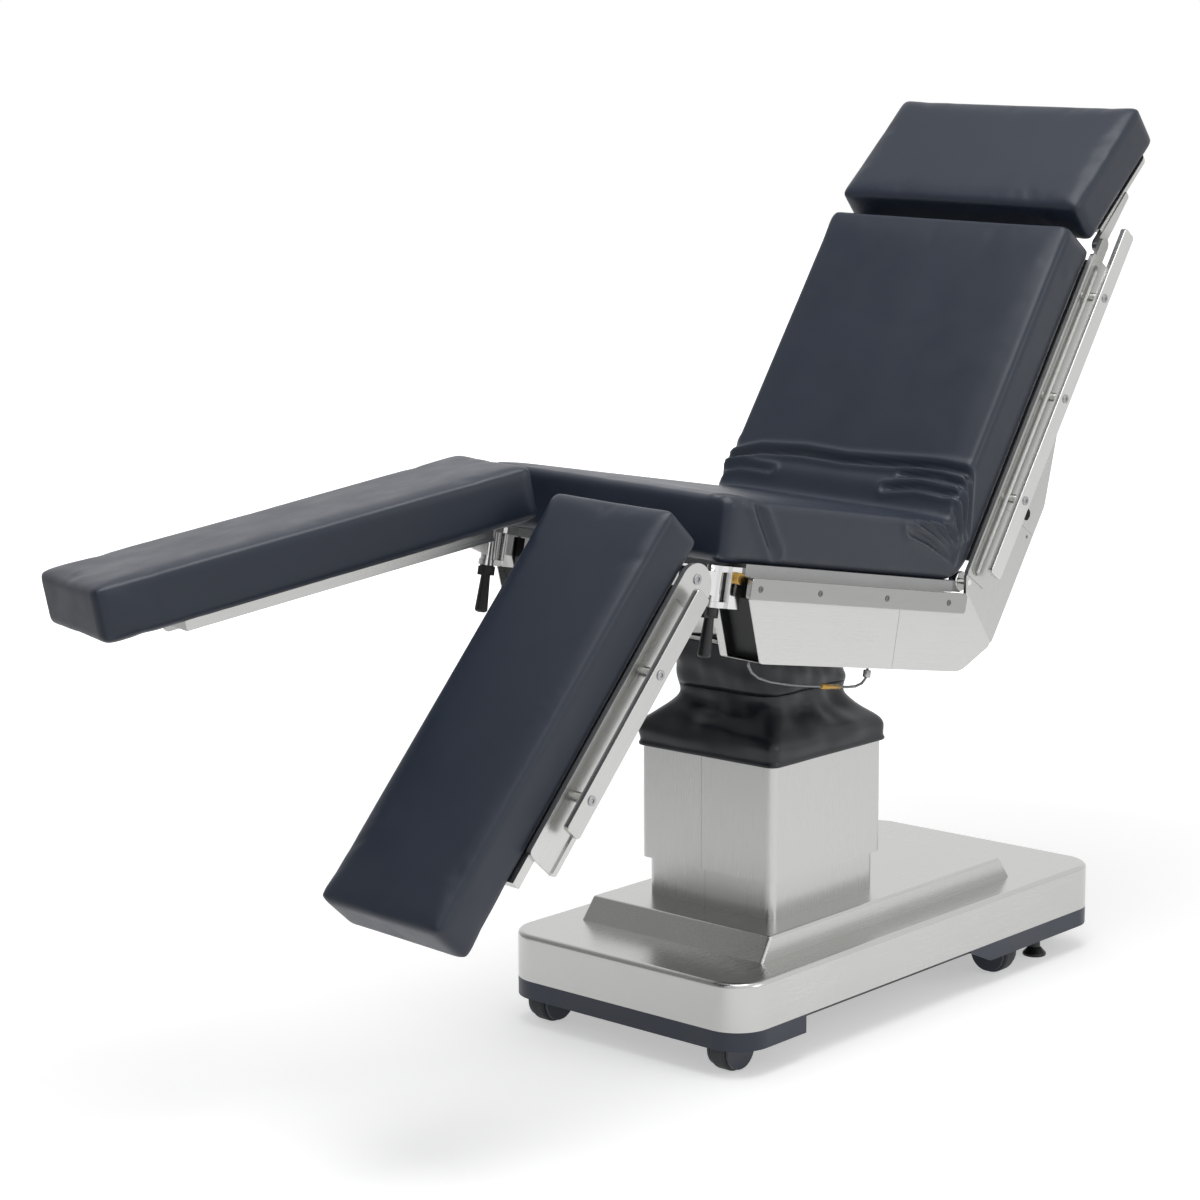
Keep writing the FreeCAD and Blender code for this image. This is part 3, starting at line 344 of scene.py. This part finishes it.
chrome = metal("chrome_plate_polished", "#E3E3E3", (0.06, 0.14), depth=0.02)
machined = metal("machined_steel", "#8E8E90", (0.28, 0.42))
cast = metal("cast_steel_blasted", "#9C9C9C", (0.40, 0.55), grit=0.0012, depth=0.25)
brass = metal("brass_turned", "#B08D4A", (0.22, 0.36))
dress(chrome, "back_hinge_pins")
for name in sides:
    dress(chrome, "leg_bracket_" + name, "leg_knuckle_" + name)
dress(brass, "thumb_screws")
dress(machined, "lift_rod", "lift_barrel", "column_guide", "column_slide")
dress(cast, "column_head", "tilt_cross", "seat_frame")

# Running gear, bumpers and levers
# Swivel casters with navy moulded forks and dark rubber wheels, brake feet and levers of black plastic, and
# two U-shaped bumpers of navy plastic clipped around the ends of the painted base.


def moulded(name, colour, roughness, grain=0.0008, depth=0.10):
    """Moulded plastic or rubber with a fine spark-eroded grain of the given size in metres."""
    made = blank(name)
    place = add(made, "TexCoord")
    speck = add(made, "TexVoronoi", {"Scale": 1 / grain}, {"Vector": place.outputs["Object"]})
    cloud = add(made, "TexNoise", {"Scale": 9.0, "Detail": 3.0}, {"Vector": place.outputs["Object"]})
    base = linear(colour)
    pale = [min(1.0, channel * 1.25) for channel in base[:3]] + [1.0]
    deep = [channel * 0.8 for channel in base[:3]] + [1.0]
    tone = add(made, "ValToRGB", links={"Fac": cloud.outputs[0]}, ramp=(deep, pale))
    shine = add(made, "MapRange", {**noise_span, "To Min": roughness[0], "To Max": roughness[1]},
                {"Value": cloud.outputs[0]})
    relief = add(made, "Bump", {"Strength": depth, "Distance": 0.0002}, {"Height": speck.outputs[0]})
    shader = add(made, "BsdfPrincipled", {"IOR": 1.5},
                 {"Base Color": tone.outputs[0], "Roughness": shine.outputs[0], "Normal": relief.outputs[0]})
    add(made, "OutputMaterial", links={"Surface": shader.outputs[0]})
    return made


navy_plastic = moulded("navy_plastic_bumper", "#232B3A", (0.34, 0.48))
black_plastic = moulded("black_plastic_moulded", "#17181A", (0.36, 0.5))
tread = moulded("rubber_tread_dark", "#232528", (0.55, 0.7))
painted = moulded("chassis_paint_dark_grey", "#3B3D40", (0.45, 0.6))
dress(navy_plastic, "bumper_foot_end", "bumper_head_end")
dress(painted, "base_chassis")
dress(black_plastic, "brake_feet", "seat_end_caps", "leg_lock_lever_left", "leg_lock_lever_right")
for corner in ("foot_left", "foot_right", "head_left", "head_right"):
    dress(navy_plastic, "caster_fork_" + corner)
    dress(tread, "caster_wheel_" + corner)

# Leg pads
# Firm foam blocks in welded navy vinyl, wipe-clean and slightly glossy. The cover is stretched over the
# foam, so faces are crowned and edges are small and even.

voxel = 0.007
swell = 0.0045
cover_pressure = 4.0
sim_frames = 20
least_corner = 0.004
edge_steps = 4


def rounded_rectangle(x0, x1, y0, y1, radius, steps=6):
    """Points around a rectangle with round corners."""
    points = []
    for cx, cy, start in ((x1 - radius, y1 - radius, 0), (x0 + radius, y1 - radius, 90),
                          (x0 + radius, y0 + radius, 180), (x1 - radius, y0 + radius, 270)):
        for i in range(steps + 1):
            angle = math.radians(start + 90 * i / steps)
            points.append((cx + radius * math.cos(angle), cy + radius * math.sin(angle)))
    return points


def loft(name, rings, closed=True):
    """Mesh through rings of equal point count, capped at both ends if closed."""
    count = len(rings[0])
    points = [p for ring in rings for p in ring]
    faces = []
    for level in range(len(rings) - 1):
        for i in range(count):
            a, b = level * count + i, level * count + (i + 1) % count
            faces.append((a, b, b + count, a + count))
    if closed:
        faces.append(tuple(reversed(range(count))))
        faces.append(tuple(range((len(rings) - 1) * count, len(rings) * count)))
    return mesh_object(name, points, faces)


def block(name, x0, x1, y0, y1, z0, z1, corner, edge):
    """Foam block with rounded corners in plan and a small round along its top and bottom edges."""
    levels = []
    for i in range(edge_steps + 1):
        angle = math.radians(90 * i / edge_steps)
        levels.append((edge * (1 - math.sin(angle)), z0 + edge - edge * math.cos(angle)))
    levels += [(inset, z1 - (z - z0)) for inset, z in reversed(levels)]
    rings = []
    for inset, z in levels:
        outline = rounded_rectangle(x0 + inset, x1 - inset, y0 + inset, y1 - inset,
                                    max(corner - inset, least_corner))
        rings.append([(x, y, z) for x, y in outline])
    return loft(name, rings)


def baked(piece):
    """Makes the result of the piece's modifiers its own mesh."""
    graph = bpy.context.evaluated_depsgraph_get()
    mesh = bpy.data.meshes.new_from_object(piece.evaluated_get(graph))
    piece.modifiers.clear()
    old = piece.data
    piece.data = mesh
    bpy.data.meshes.remove(old)


def points_of(mesh):
    co = np.zeros(len(mesh.vertices) * 3)
    mesh.vertices.foreach_get("co", co)
    return co.reshape(-1, 3)


def plump(piece, size=voxel):
    """Remeshes a foam block evenly and gives its points after the cover has swollen under pressure."""
    remesh = piece.modifiers.new("even", "REMESH")
    remesh.mode = "VOXEL"
    remesh.voxel_size = size
    baked(piece)
    start = points_of(piece.data)
    cloth = piece.modifiers.new("cover", "CLOTH")
    cloth.settings.use_pressure = True
    cloth.settings.uniform_pressure_force = cover_pressure
    cloth.settings.effector_weights.gravity = 0.0
    cloth.point_cache.frame_start = 1
    cloth.point_cache.frame_end = sim_frames
    for step in range(1, sim_frames + 1):
        bpy.context.scene.frame_set(step)
    graph = bpy.context.evaluated_depsgraph_get()
    swollen = points_of(piece.evaluated_get(graph).data)
    piece.modifiers.clear()
    bpy.context.scene.frame_set(1)
    move = swollen - start
    far = np.linalg.norm(move, axis=1, keepdims=True)
    return start + move * np.minimum(1.0, swell / np.maximum(far, 1e-9))


def smoothed(piece):
    """Subdivides the piece once and smooths its shading."""
    finer = piece.modifiers.new("finer", "SUBSURF")
    finer.levels = finer.render_levels = 1
    baked(piece)
    piece.data.polygons.foreach_set("use_smooth", [True] * len(piece.data.polygons))


def shaped(piece, points):
    """Puts the points in the mesh and subdivides it."""
    piece.data.vertices.foreach_set("co", np.asarray(points, np.float32).ravel())
    smoothed(piece)


def placed(points, matrix):
    turn = np.array(matrix)
    return points @ turn[:3, :3].T + turn[:3, 3]


def vinyl(name, colour, roughness=(0.36, 0.46)):
    """Coated fabric: a fine leather-like print over a smooth skin that wiping has polished in places."""
    made = blank(name)
    place = add(made, "TexCoord")
    # The real print is about 1 mm wide and is drawn 1.6 mm wide, so that it shows
    leather = add(made, "TexVoronoi", {"Scale": 1 / 0.0016}, {"Vector": place.outputs["Object"]})
    pucker = add(made, "TexNoise", {"Scale": 16.0, "Detail": 4.0, "Roughness": 0.55},
                 {"Vector": place.outputs["Object"]})
    cloud = add(made, "TexNoise", {"Scale": 5.0, "Detail": 2.0}, {"Vector": place.outputs["Object"]})
    base = linear(colour)
    pale = [min(1.0, channel * 1.14) for channel in base[:3]] + [1.0]
    deep = [channel * 0.86 for channel in base[:3]] + [1.0]
    tone = add(made, "ValToRGB", links={"Fac": cloud.outputs[0]}, ramp=(deep, pale))
    shine = add(made, "MapRange", {**noise_span, "To Min": roughness[0], "To Max": roughness[1]},
                {"Value": pucker.outputs[0]})
    fine = add(made, "Bump", {"Strength": 0.12, "Distance": 0.0002}, {"Height": leather.outputs[0]})
    soft = add(made, "Bump", {"Strength": 0.10, "Distance": 0.003},
               {"Height": pucker.outputs[0], "Normal": fine.outputs[0]})
    shader = add(made, "BsdfPrincipled", {"IOR": 1.45, "Coat Weight": 0.04, "Coat Roughness": 0.25},
                 {"Base Color": tone.outputs[0], "Roughness": shine.outputs[0], "Normal": soft.outputs[0]})
    add(made, "OutputMaterial", links={"Surface": shader.outputs[0]})
    return made


pad_vinyl = vinyl("vinyl_navy_pad_cover", "#1F2735")
pad_corner, pad_edge = 0.014, 0.007

# The block's reach along, across and out of the leg, in pairs. The left leg has its mirror image.
leg_block = (-0.671, 0.040, 0.010, 0.250, 0.036, 0.116)
leg_sample = block("leg_pad", *leg_block, corner=pad_corner, edge=pad_edge)
leg_shape = plump(leg_sample)
for name, side in sides.items():
    pad = leg_sample.copy()
    pad.data = leg_sample.data.copy()
    pad.name = "vinyl_leg_pad_" + name
    bpy.context.scene.collection.objects.link(pad)
    if side < 0:
        pad.data.flip_normals()
    shaped(pad, placed(leg_shape * np.array((1, side, 1)), leg[name]))
    pad.data.materials.append(pad_vinyl)
    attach(pad, "leg_" + name)
    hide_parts("leg_pad_" + name)
bpy.data.objects.remove(leg_sample)

# Head pad
# A short block of the same foam and vinyl on the head section's own frame.

head_block = (-0.013, 0.236, -0.250, 0.250, 0.017, 0.097)
pad = block("vinyl_head_pad", *head_block, corner=pad_corner, edge=pad_edge)
shaped(pad, placed(plump(pad), head))
pad.data.materials.append(pad_vinyl)
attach(pad, "head")
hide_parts("head_pad")

# Seat and back mattress
# Seat and back foam share one vinyl cover that folds over the hinge. It is shaped flat, creased where the
# vinyl has nowhere to go, and bent about the plane that halves the angle.

seat_front = -0.418
pad_half = 0.250
back_length = 0.620
flat_corner = 0.190
flat_end = flat_corner + back_length - 0.03
mattress_voxel = 0.0085
seat_thickness, back_thickness = 0.094, 0.085
seat_pad_bottom, back_pad_bottom = 0.018, 0.009
half_bend = rest_angle("back_raise") / 2

# How far before and after the corner the pad starts to turn, at its bottom, at three quarters and at its top
bend_eases = (0.045, 0.026, 0.014)

# Foam pushed up beside the fold: its place along the flat pad, its half width and its height
bulge_place, bulge_width, bulge_height = 0.232, 0.020, 0.0045

# Each crease: its line on the flat pad in metres, the width and depth of its valley, the height of its lips
top_creases = (
    (((0.246, 0.262), (0.268, 0.180), (0.275, 0.090), (0.272, 0.0), (0.277, -0.080), (0.283, -0.170),
      (0.286, -0.262)), 0.0060, 0.0080, 0.0040),
    (((0.226, -0.100), (0.236, -0.165), (0.234, -0.215), (0.242, -0.262)), 0.0055, 0.0060, 0.0034),
    (((0.258, -0.120), (0.262, -0.190), (0.256, -0.262)), 0.0050, 0.0044, 0.0030),
    (((0.224, 0.262), (0.232, 0.205), (0.230, 0.140)), 0.0055, 0.0046, 0.0030),
    (((-0.400, -0.215), (-0.345, -0.262)), 0.0060, 0.0040, 0.0020),
)
side_creases = (
    (((0.060, 0.072), (0.110, 0.060), (0.165, 0.036)), 0.0060, 0.0048, 0.0030),
    (((0.092, 0.090), (0.130, 0.074), (0.176, 0.044)), 0.0050, 0.0044, 0.0030),
    (((0.130, 0.096), (0.152, 0.078), (0.184, 0.050)), 0.0050, 0.0044, 0.0028),
    (((0.170, 0.098), (0.178, 0.078), (0.190, 0.054)), 0.0050, 0.0050, 0.0030),
    (((0.222, 0.098), (0.212, 0.080), (0.202, 0.054)), 0.0050, 0.0052, 0.0032),
    (((0.256, 0.098), (0.238, 0.076), (0.216, 0.048)), 0.0050, 0.0048, 0.0030),
    (((0.284, 0.096), (0.262, 0.072), (0.230, 0.042)), 0.0055, 0.0044, 0.0028),
    (((-0.350, 0.096), (-0.322, 0.056), (-0.296, 0.020)), 0.0080, 0.0050, 0.0022),
)


def crease_height(u, v, line, width, depth, lip):
    """Height of one crease over the flat place (u, v): a valley along the line with a low lip each side."""
    nearest = np.full(len(u), np.inf)
    for (ax, ay), (bx, by) in zip(line, line[1:]):
        length = (bx - ax) ** 2 + (by - ay) ** 2
        along = np.clip(((u - ax) * (bx - ax) + (v - ay) * (by - ay)) / length, 0, 1)
        nearest = np.minimum(nearest, np.hypot(u - ax - along * (bx - ax), v - ay - along * (by - ay)))
    ends = np.minimum(np.hypot(u - line[0][0], v - line[0][1]), np.hypot(u - line[-1][0], v - line[-1][1]))
    fade = np.clip(ends / 0.018 + 0.25, 0, 1)
    reach = nearest / width
    return fade * (lip * np.exp(-((reach - 2.0) / 1.1) ** 2) - depth * np.exp(-reach ** 2))


def creased(points):
    """Presses the creases into the top and the long sides of the flat mattress."""
    s, y, h = points.T.copy()
    top_share = np.clip((h - 0.070) / 0.018, 0, 1)
    side_share = np.clip((np.abs(y) - 0.232) / 0.012, 0, 1)
    bulge = bulge_height * np.exp(-((s - bulge_place) / bulge_width) ** 2)
    lift = bulge + sum(crease_height(s, y, *crease) for crease in top_creases)
    push = sum(crease_height(s, h, *crease) for crease in side_creases)
    return np.column_stack((s, y + np.sign(y) * side_share * push, h + top_share * lift))


def bend_mattress(points):
    """Wraps the flat mattress around the hinge: each layer turns its corner on the halving plane."""
    s, y, h = points.T
    share = h / seat_thickness
    seat_z = seat_pad_bottom + h
    back_w = back_pad_bottom + h * (back_thickness / seat_thickness)
    corner_x = back_hinge.x - h * math.tan(half_bend)
    corner_b = back_w * math.tan(half_bend)
    ease = np.interp(share, (0, 0.75, 1), bend_eases)
    t = s - flat_corner
    stretch_seat = (corner_x - seat_front) / (flat_corner - seat_front)
    stretch_back = (back_length - corner_b) / (flat_end - flat_corner)
    turn_cos, turn_sin = math.cos(2 * half_bend), math.sin(2 * half_bend)

    def on_seat(u):
        return corner_x + u * stretch_seat, seat_z

    def on_back(u):
        b = corner_b + u * stretch_back
        x = back_hinge.x + b * turn_cos - back_w * turn_sin
        return x, seat_pad_bottom + b * turn_sin + back_w * turn_cos

    k = np.clip((t + ease) / (2 * ease), 0, 1)
    ax, az = on_seat(np.minimum(t, -ease))
    bx, bz = on_back(np.maximum(t, ease))
    cx, cz = on_seat(np.zeros_like(t))
    dx, dz = on_back(np.zeros_like(t))
    x = (1 - k) ** 2 * ax + k * (1 - k) * (cx + dx) + k ** 2 * bx
    z = (1 - k) ** 2 * az + k * (1 - k) * (cz + dz) + k ** 2 * bz
    x = np.where(t <= -ease, ax, np.where(t >= ease, bx, x))
    z = np.where(t <= -ease, az, np.where(t >= ease, bz, z))
    return np.column_stack((x, y, z))


mattress = block("vinyl_seat_back_mattress", seat_front, flat_end, -pad_half, pad_half, 0.0, seat_thickness,
                 corner=0.015, edge=0.008)
shaped(mattress, plump(mattress, mattress_voxel))
bent = placed(bend_mattress(creased(points_of(mattress.data))), seat)
mattress.data.vertices.foreach_set("co", bent.astype(np.float32).ravel())
mattress.data.update()
mattress.data.materials.append(pad_vinyl)
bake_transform(mattress)
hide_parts("seat_pad", "back_pad")

# Boot
# Soft dark vinyl gathered over the joint between column and table top. Its hem hangs over the column's
# upper cover; above the shoulder it is drawn in to a folded neck that is fastened under the tray.

boot_vinyl = vinyl("vinyl_boot_dark_navy", "#171A22", roughness=(0.28, 0.40))
cover_half = Vector((0.1454, 0.1387))
neck_half = Vector((0.104, 0.100))
boot_points = 176
boot_wall = 0.0014
boot_middle, boot_middle_grow, boot_middle_fold = 0.540, 0.002, 0.0034
tray_level, tray_shift = -0.1278, 0.012
neck_levels = 12
neck_sag, neck_fold = 0.0035, 0.0030

# Each level: height, how far the skirt stands out, how wide it is between neck (0) and cover (1), fold depth
boot_levels = (
    (0.4385, 0.0050, 1.0, 0.0006), (0.4400, 0.0066, 1.0, 0.0006), (0.4440, 0.0066, 1.0, 0.0008),
    (0.4460, 0.0048, 1.0, 0.0010), (0.452, 0.0056, 1.0, 0.0018), (0.460, 0.0064, 1.0, 0.0024),
    (0.468, 0.0060, 1.0, 0.0026), (0.476, 0.0040, 0.97, 0.0030), (0.483, 0.0020, 0.90, 0.0036),
    (0.489, 0.0008, 0.78, 0.0042), (0.495, 0.0, 0.62, 0.0048), (0.500, 0.0, 0.46, 0.0050),
    (0.505, 0.0, 0.31, 0.0048), (0.511, 0.0, 0.18, 0.0044), (0.518, 0.0, 0.08, 0.0040),
    (0.526, 0.0010, 0.02, 0.0036), (0.533, 0.0020, 0.0, 0.0034),
    (boot_middle, boot_middle_grow, 0.0, boot_middle_fold),
)


def boot_ring(half_x, half_y, corner, level):
    """Evenly spaced points around the boot at one height."""
    outline = rounded_rectangle(-half_x, half_x, -half_y, half_y, corner, steps=10)
    closed = np.array(outline + outline[:1])
    run = np.concatenate(([0], np.cumsum(np.linalg.norm(np.diff(closed, axis=0), axis=1))))
    along = np.linspace(0, run[-1], boot_points, endpoint=False)
    x, y = np.interp(along, run, closed[:, 0]), np.interp(along, run, closed[:, 1])
    return [Vector((a, b, level)) for a, b in zip(x, y)]


def folded(ring, level, depth):
    """Moves a ring in and out by shallow upright folds that lean, fork and deepen at the corners."""
    moved = []
    for p in ring:
        turn = math.atan2(p.y, p.x)
        corner = abs(math.sin(2 * turn)) ** 3 + 0.25 * math.cos(2 * turn) ** 2
        wave = (math.sin(5 * turn + 30 * level) + 0.8 * math.sin(9 * turn - 70 * level + 1.3)
                + 0.35 * math.sin(19 * turn + 50 * level + 0.4) + 0.9 * math.sin(170 * level + 4 * turn))
        out = Vector((p.x, p.y, 0)).normalized()
        moved.append(p + out * depth * (0.35 + 0.65 * corner) * wave * 0.6)
    return moved


def sleeve(name, rings):
    """Open sleeve through the rings, with the vinyl's thickness inwards."""
    made = loft(name, rings, closed=False)
    wall = made.modifiers.new("wall", "SOLIDIFY")
    wall.thickness = boot_wall
    wall.offset = -1
    return made


rings = []
for level, grow, wide, depth in boot_levels:
    half = neck_half.lerp(cover_half, wide)
    ring = boot_ring(half.x + grow, half.y + grow, 0.016 + 0.012 * (1 - wide), level)
    rings.append(folded(ring, level, depth))
boot_lower = sleeve("vinyl_boot_lower", rings)
smoothed(boot_lower)
boot_lower.data.materials.append(boot_vinyl)
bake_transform(boot_lower)
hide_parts("boot")

tray_ring = [seat @ Vector((p.x + tray_shift, p.y, tray_level))
             for p in boot_ring(neck_half.x, neck_half.y, 0.026, 0)]
low_ring = boot_ring(neck_half.x + boot_middle_grow, neck_half.y + boot_middle_grow, 0.028, boot_middle)
low_ring = folded(low_ring, boot_middle, boot_middle_fold)
rings = []
for i in range(neck_levels + 1):
    share = i / neck_levels
    arch = math.sin(math.pi * share)
    ring = [low.lerp(high, share) for low, high in zip(low_ring, tray_ring)]
    rings.append([p + Vector((p.x, p.y, 0)).normalized() * neck_sag * arch
                  for p in folded(ring, boot_middle + 0.06 * share, neck_fold * arch)])
boot_upper = sleeve("vinyl_boot_upper", rings)
baked(boot_upper)
boot_upper.data.polygons.foreach_set("use_smooth", [True] * len(boot_upper.data.polygons))
boot_upper.data.materials.append(boot_vinyl)
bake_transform(boot_upper)

# Screws
# Socket-head screws of bright or polished steel hold the rails to their spacers and close the housings, and
# rubber plugs fill the gussets' holes. One head is drawn by geometry nodes and set on every place of a body.


def screw_field():
    """Node group: a chamfered screw head with a round socket on each point, standing along its way."""
    group = bpy.data.node_groups.new("socket_screws", "GeometryNodeTree")
    face = group.interface
    face.new_socket("Places", in_out="INPUT", socket_type="NodeSocketGeometry")
    for label in ("Head Radius", "Head Height", "Socket Share"):
        face.new_socket(label, in_out="INPUT", socket_type="NodeSocketFloat")
    face.new_socket("Steel", in_out="INPUT", socket_type="NodeSocketMaterial")
    face.new_socket("Screws", in_out="OUTPUT", socket_type="NodeSocketGeometry")
    given = add(group, "NodeGroupInput").outputs
    head = add(group, "GeometryNodeMeshCylinder", {"Vertices": 24},
               {"Radius": given["Head Radius"], "Depth": given["Head Height"]}, fill_type="NGON")
    mesh, top = head.outputs["Mesh"], head.outputs["Top"]
    # Three pulls on the top face: a chamfer out, a step in to the socket's rim, and the socket's wall down
    pulls = (({"Scale": 0.86}, {}, 0.12),
             ({}, {"Scale": given["Socket Share"]}, 0.0),
             ({"Scale": 0.96}, {}, -0.45))
    for width, width_link, rise in pulls:
        height = add(group, "Math", {1: rise}, {0: given["Head Height"]}, operation="MULTIPLY")
        pulled = add(group, "GeometryNodeExtrudeMesh", {"Individual": False},
                     {"Mesh": mesh, "Selection": top, "Offset Scale": height.outputs[0]}, mode="FACES")
        top = pulled.outputs["Top"]
        shrunk = add(group, "GeometryNodeScaleElements", width,
                     {"Geometry": pulled.outputs["Mesh"], "Selection": top, **width_link})
        mesh = shrunk.outputs["Geometry"]
    way = add(group, "GeometryNodeInputNamedAttribute", {"Name": "way"}, data_type="FLOAT_VECTOR")
    turned = add(group, "FunctionNodeAlignRotationToVector", axis="Z",
                 links={"Vector": way.outputs["Attribute"]})
    set_out = add(group, "GeometryNodeInstanceOnPoints",
                  links={"Points": given["Places"], "Instance": mesh, "Rotation": turned.outputs["Rotation"]})
    real = add(group, "GeometryNodeRealizeInstances", links={"Geometry": set_out.outputs["Instances"]})
    coated = add(group, "GeometryNodeSetMaterial",
                 links={"Geometry": real.outputs["Geometry"], "Material": given["Steel"]})
    add(group, "NodeGroupOutput", links={"Screws": coated.outputs["Geometry"]})
    return group


screw_group = screw_field()


def screws(name, body, steel, places, radius, height, socket=0.52):
    """One mesh of screws for a body; each place is a section's axes, a point in it and the way it faces."""
    holder = mesh_object(name, [section @ Vector(point) for section, point, way in places], [])
    ways = holder.data.attributes.new("way", "FLOAT_VECTOR", "POINT")
    ways.data.foreach_set("vector", [part for section, point, way in places
                                     for part in section.to_3x3() @ Vector(way)])
    field = holder.modifiers.new("screws", "NODES")
    field.node_group = screw_group
    values = {"Head Radius": radius, "Head Height": height, "Socket Share": socket, "Steel": steel}
    for item in screw_group.interface.items_tree:
        if item.in_out == "INPUT" and item.name in values:
            field[item.identifier] = values[item.name]
    baked(holder)
    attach(holder, body)


polished = metal("dark_polished_steel", "#77797B", (0.20, 0.32))
zinc = metal("screw_zinc_bright", "#A9A9AB", (0.22, 0.34))
plug_rubber = moulded("plug_rubber_black", "#121214", (0.5, 0.65))
rail_face, seat_rail_face, gusset_face = 0.282, 0.271, 0.256
rail_screw = (0.0075, 0.0030)

seat_places = [(seat, (x, side * seat_rail_face, -0.016), (0, side, 0))
               for side in sides.values() for x in (-0.346, -0.200, -0.027, 0.142)]
screws("steel_seat_rail_screws", "seat", polished, seat_places, 0.0050, 0.0016)

back_places = [(back, (x, side * rail_face, -0.025), (0, side, 0))
               for side in sides.values() for x in (0.166, 0.356, 0.547)]
screws("steel_back_rail_screws", "back", zinc, back_places, *rail_screw)

gusset_places = [(back, (0.135, side * (gusset_face - 0.002), -0.103), (0, side, 0))
                 for side in sides.values()]
screws("steel_gusset_screws", "back", zinc, gusset_places, 0.0028, 0.0012)

plug_places = [(back, (0.165, side * (gusset_face - 0.0035), -0.080), (0, side, 0))
               for side in sides.values()]
screws("rubber_gusset_plugs", "back", plug_rubber, plug_places, 0.0098, 0.0022, socket=0.80)

for name, side in sides.items():
    leg_places = [(leg[name], (x, side * rail_face, 0.011), (0, side, 0)) for x in (-0.174, -0.384)]
    screws("steel_leg_rail_screws_" + name, "leg_" + name, zinc, leg_places, *rail_screw)
    pivot_place = (leg[name], (-0.0146, side * 0.258, 0.014), (0, side, 0))
    screws("steel_leg_pivot_screw_" + name, "leg_" + name, zinc, [pivot_place], 0.0080, 0.0030)

tray_places = [(seat, (x, side * 0.205, -0.1277), (0, 0, -1))
               for side in sides.values() for x in (0.010, 0.048)]
screws("steel_tray_screws", "seat", zinc, tray_places, 0.0060, 0.0050)

# Pipe under the tray
# Thin hydraulic pipe of drawn steel that hangs in a shallow bow outside the boot and turns up into the tray
# at both ends, with a turned brass coupling and a six-sided steel union.


def tube(name, path, radii, corners=12):
    """Tube along a path, its rings turned with the path; radii holds one radius for each point."""
    rings = []
    for i, p in enumerate(path):
        way = (path[min(i + 1, len(path) - 1)] - path[max(i - 1, 0)]).normalized()
        across = way.cross(Vector((0, 1, 0))).normalized()
        over = across.cross(way)
        rings.append([p + (across * math.cos(a) + over * math.sin(a)) * radii[i]
                      for a in (2 * math.pi * k / corners for k in range(corners))])
    return loft(name, rings)


pipe_side, pipe_low, pipe_end = -0.200, -0.167, 0.046
pipe_radius = 0.0022
bow = ((-0.262, -0.1275), (-0.260, -0.138), (-0.250, -0.149), (-0.232, -0.157), (-0.200, -0.1625),
       (-0.150, -0.166), (-0.100, pipe_low), (0.0, -0.1665), (0.020, -0.165), (0.036, -0.160),
       (0.044, -0.152), (pipe_end, -0.140), (pipe_end, -0.1275))
pipe = tube("steel_pipe_under_tray", [seat @ Vector((x, pipe_side, z)) for x, z in bow],
            [pipe_radius] * len(bow))

coupling_places = (-0.070, -0.068, -0.048, -0.046, -0.038, -0.023)
coupling_radii = (0.0036, 0.0048, 0.0048, 0.0040, 0.0040, 0.0040)
coupling = tube("brass_pipe_coupling", [seat @ Vector((x, pipe_side, pipe_low)) for x in coupling_places],
                coupling_radii)

union_heights = (-0.1500, -0.1490, -0.1390, -0.1380)
union_radii = (0.0050, 0.0062, 0.0062, 0.0050)
union = tube("steel_pipe_union", [seat @ Vector((pipe_end, pipe_side, z)) for z in union_heights],
             union_radii, corners=6)

for piece, material in ((pipe, polished), (coupling, brass), (union, zinc)):
    piece.data.materials.append(material)
    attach(piece, "seat")
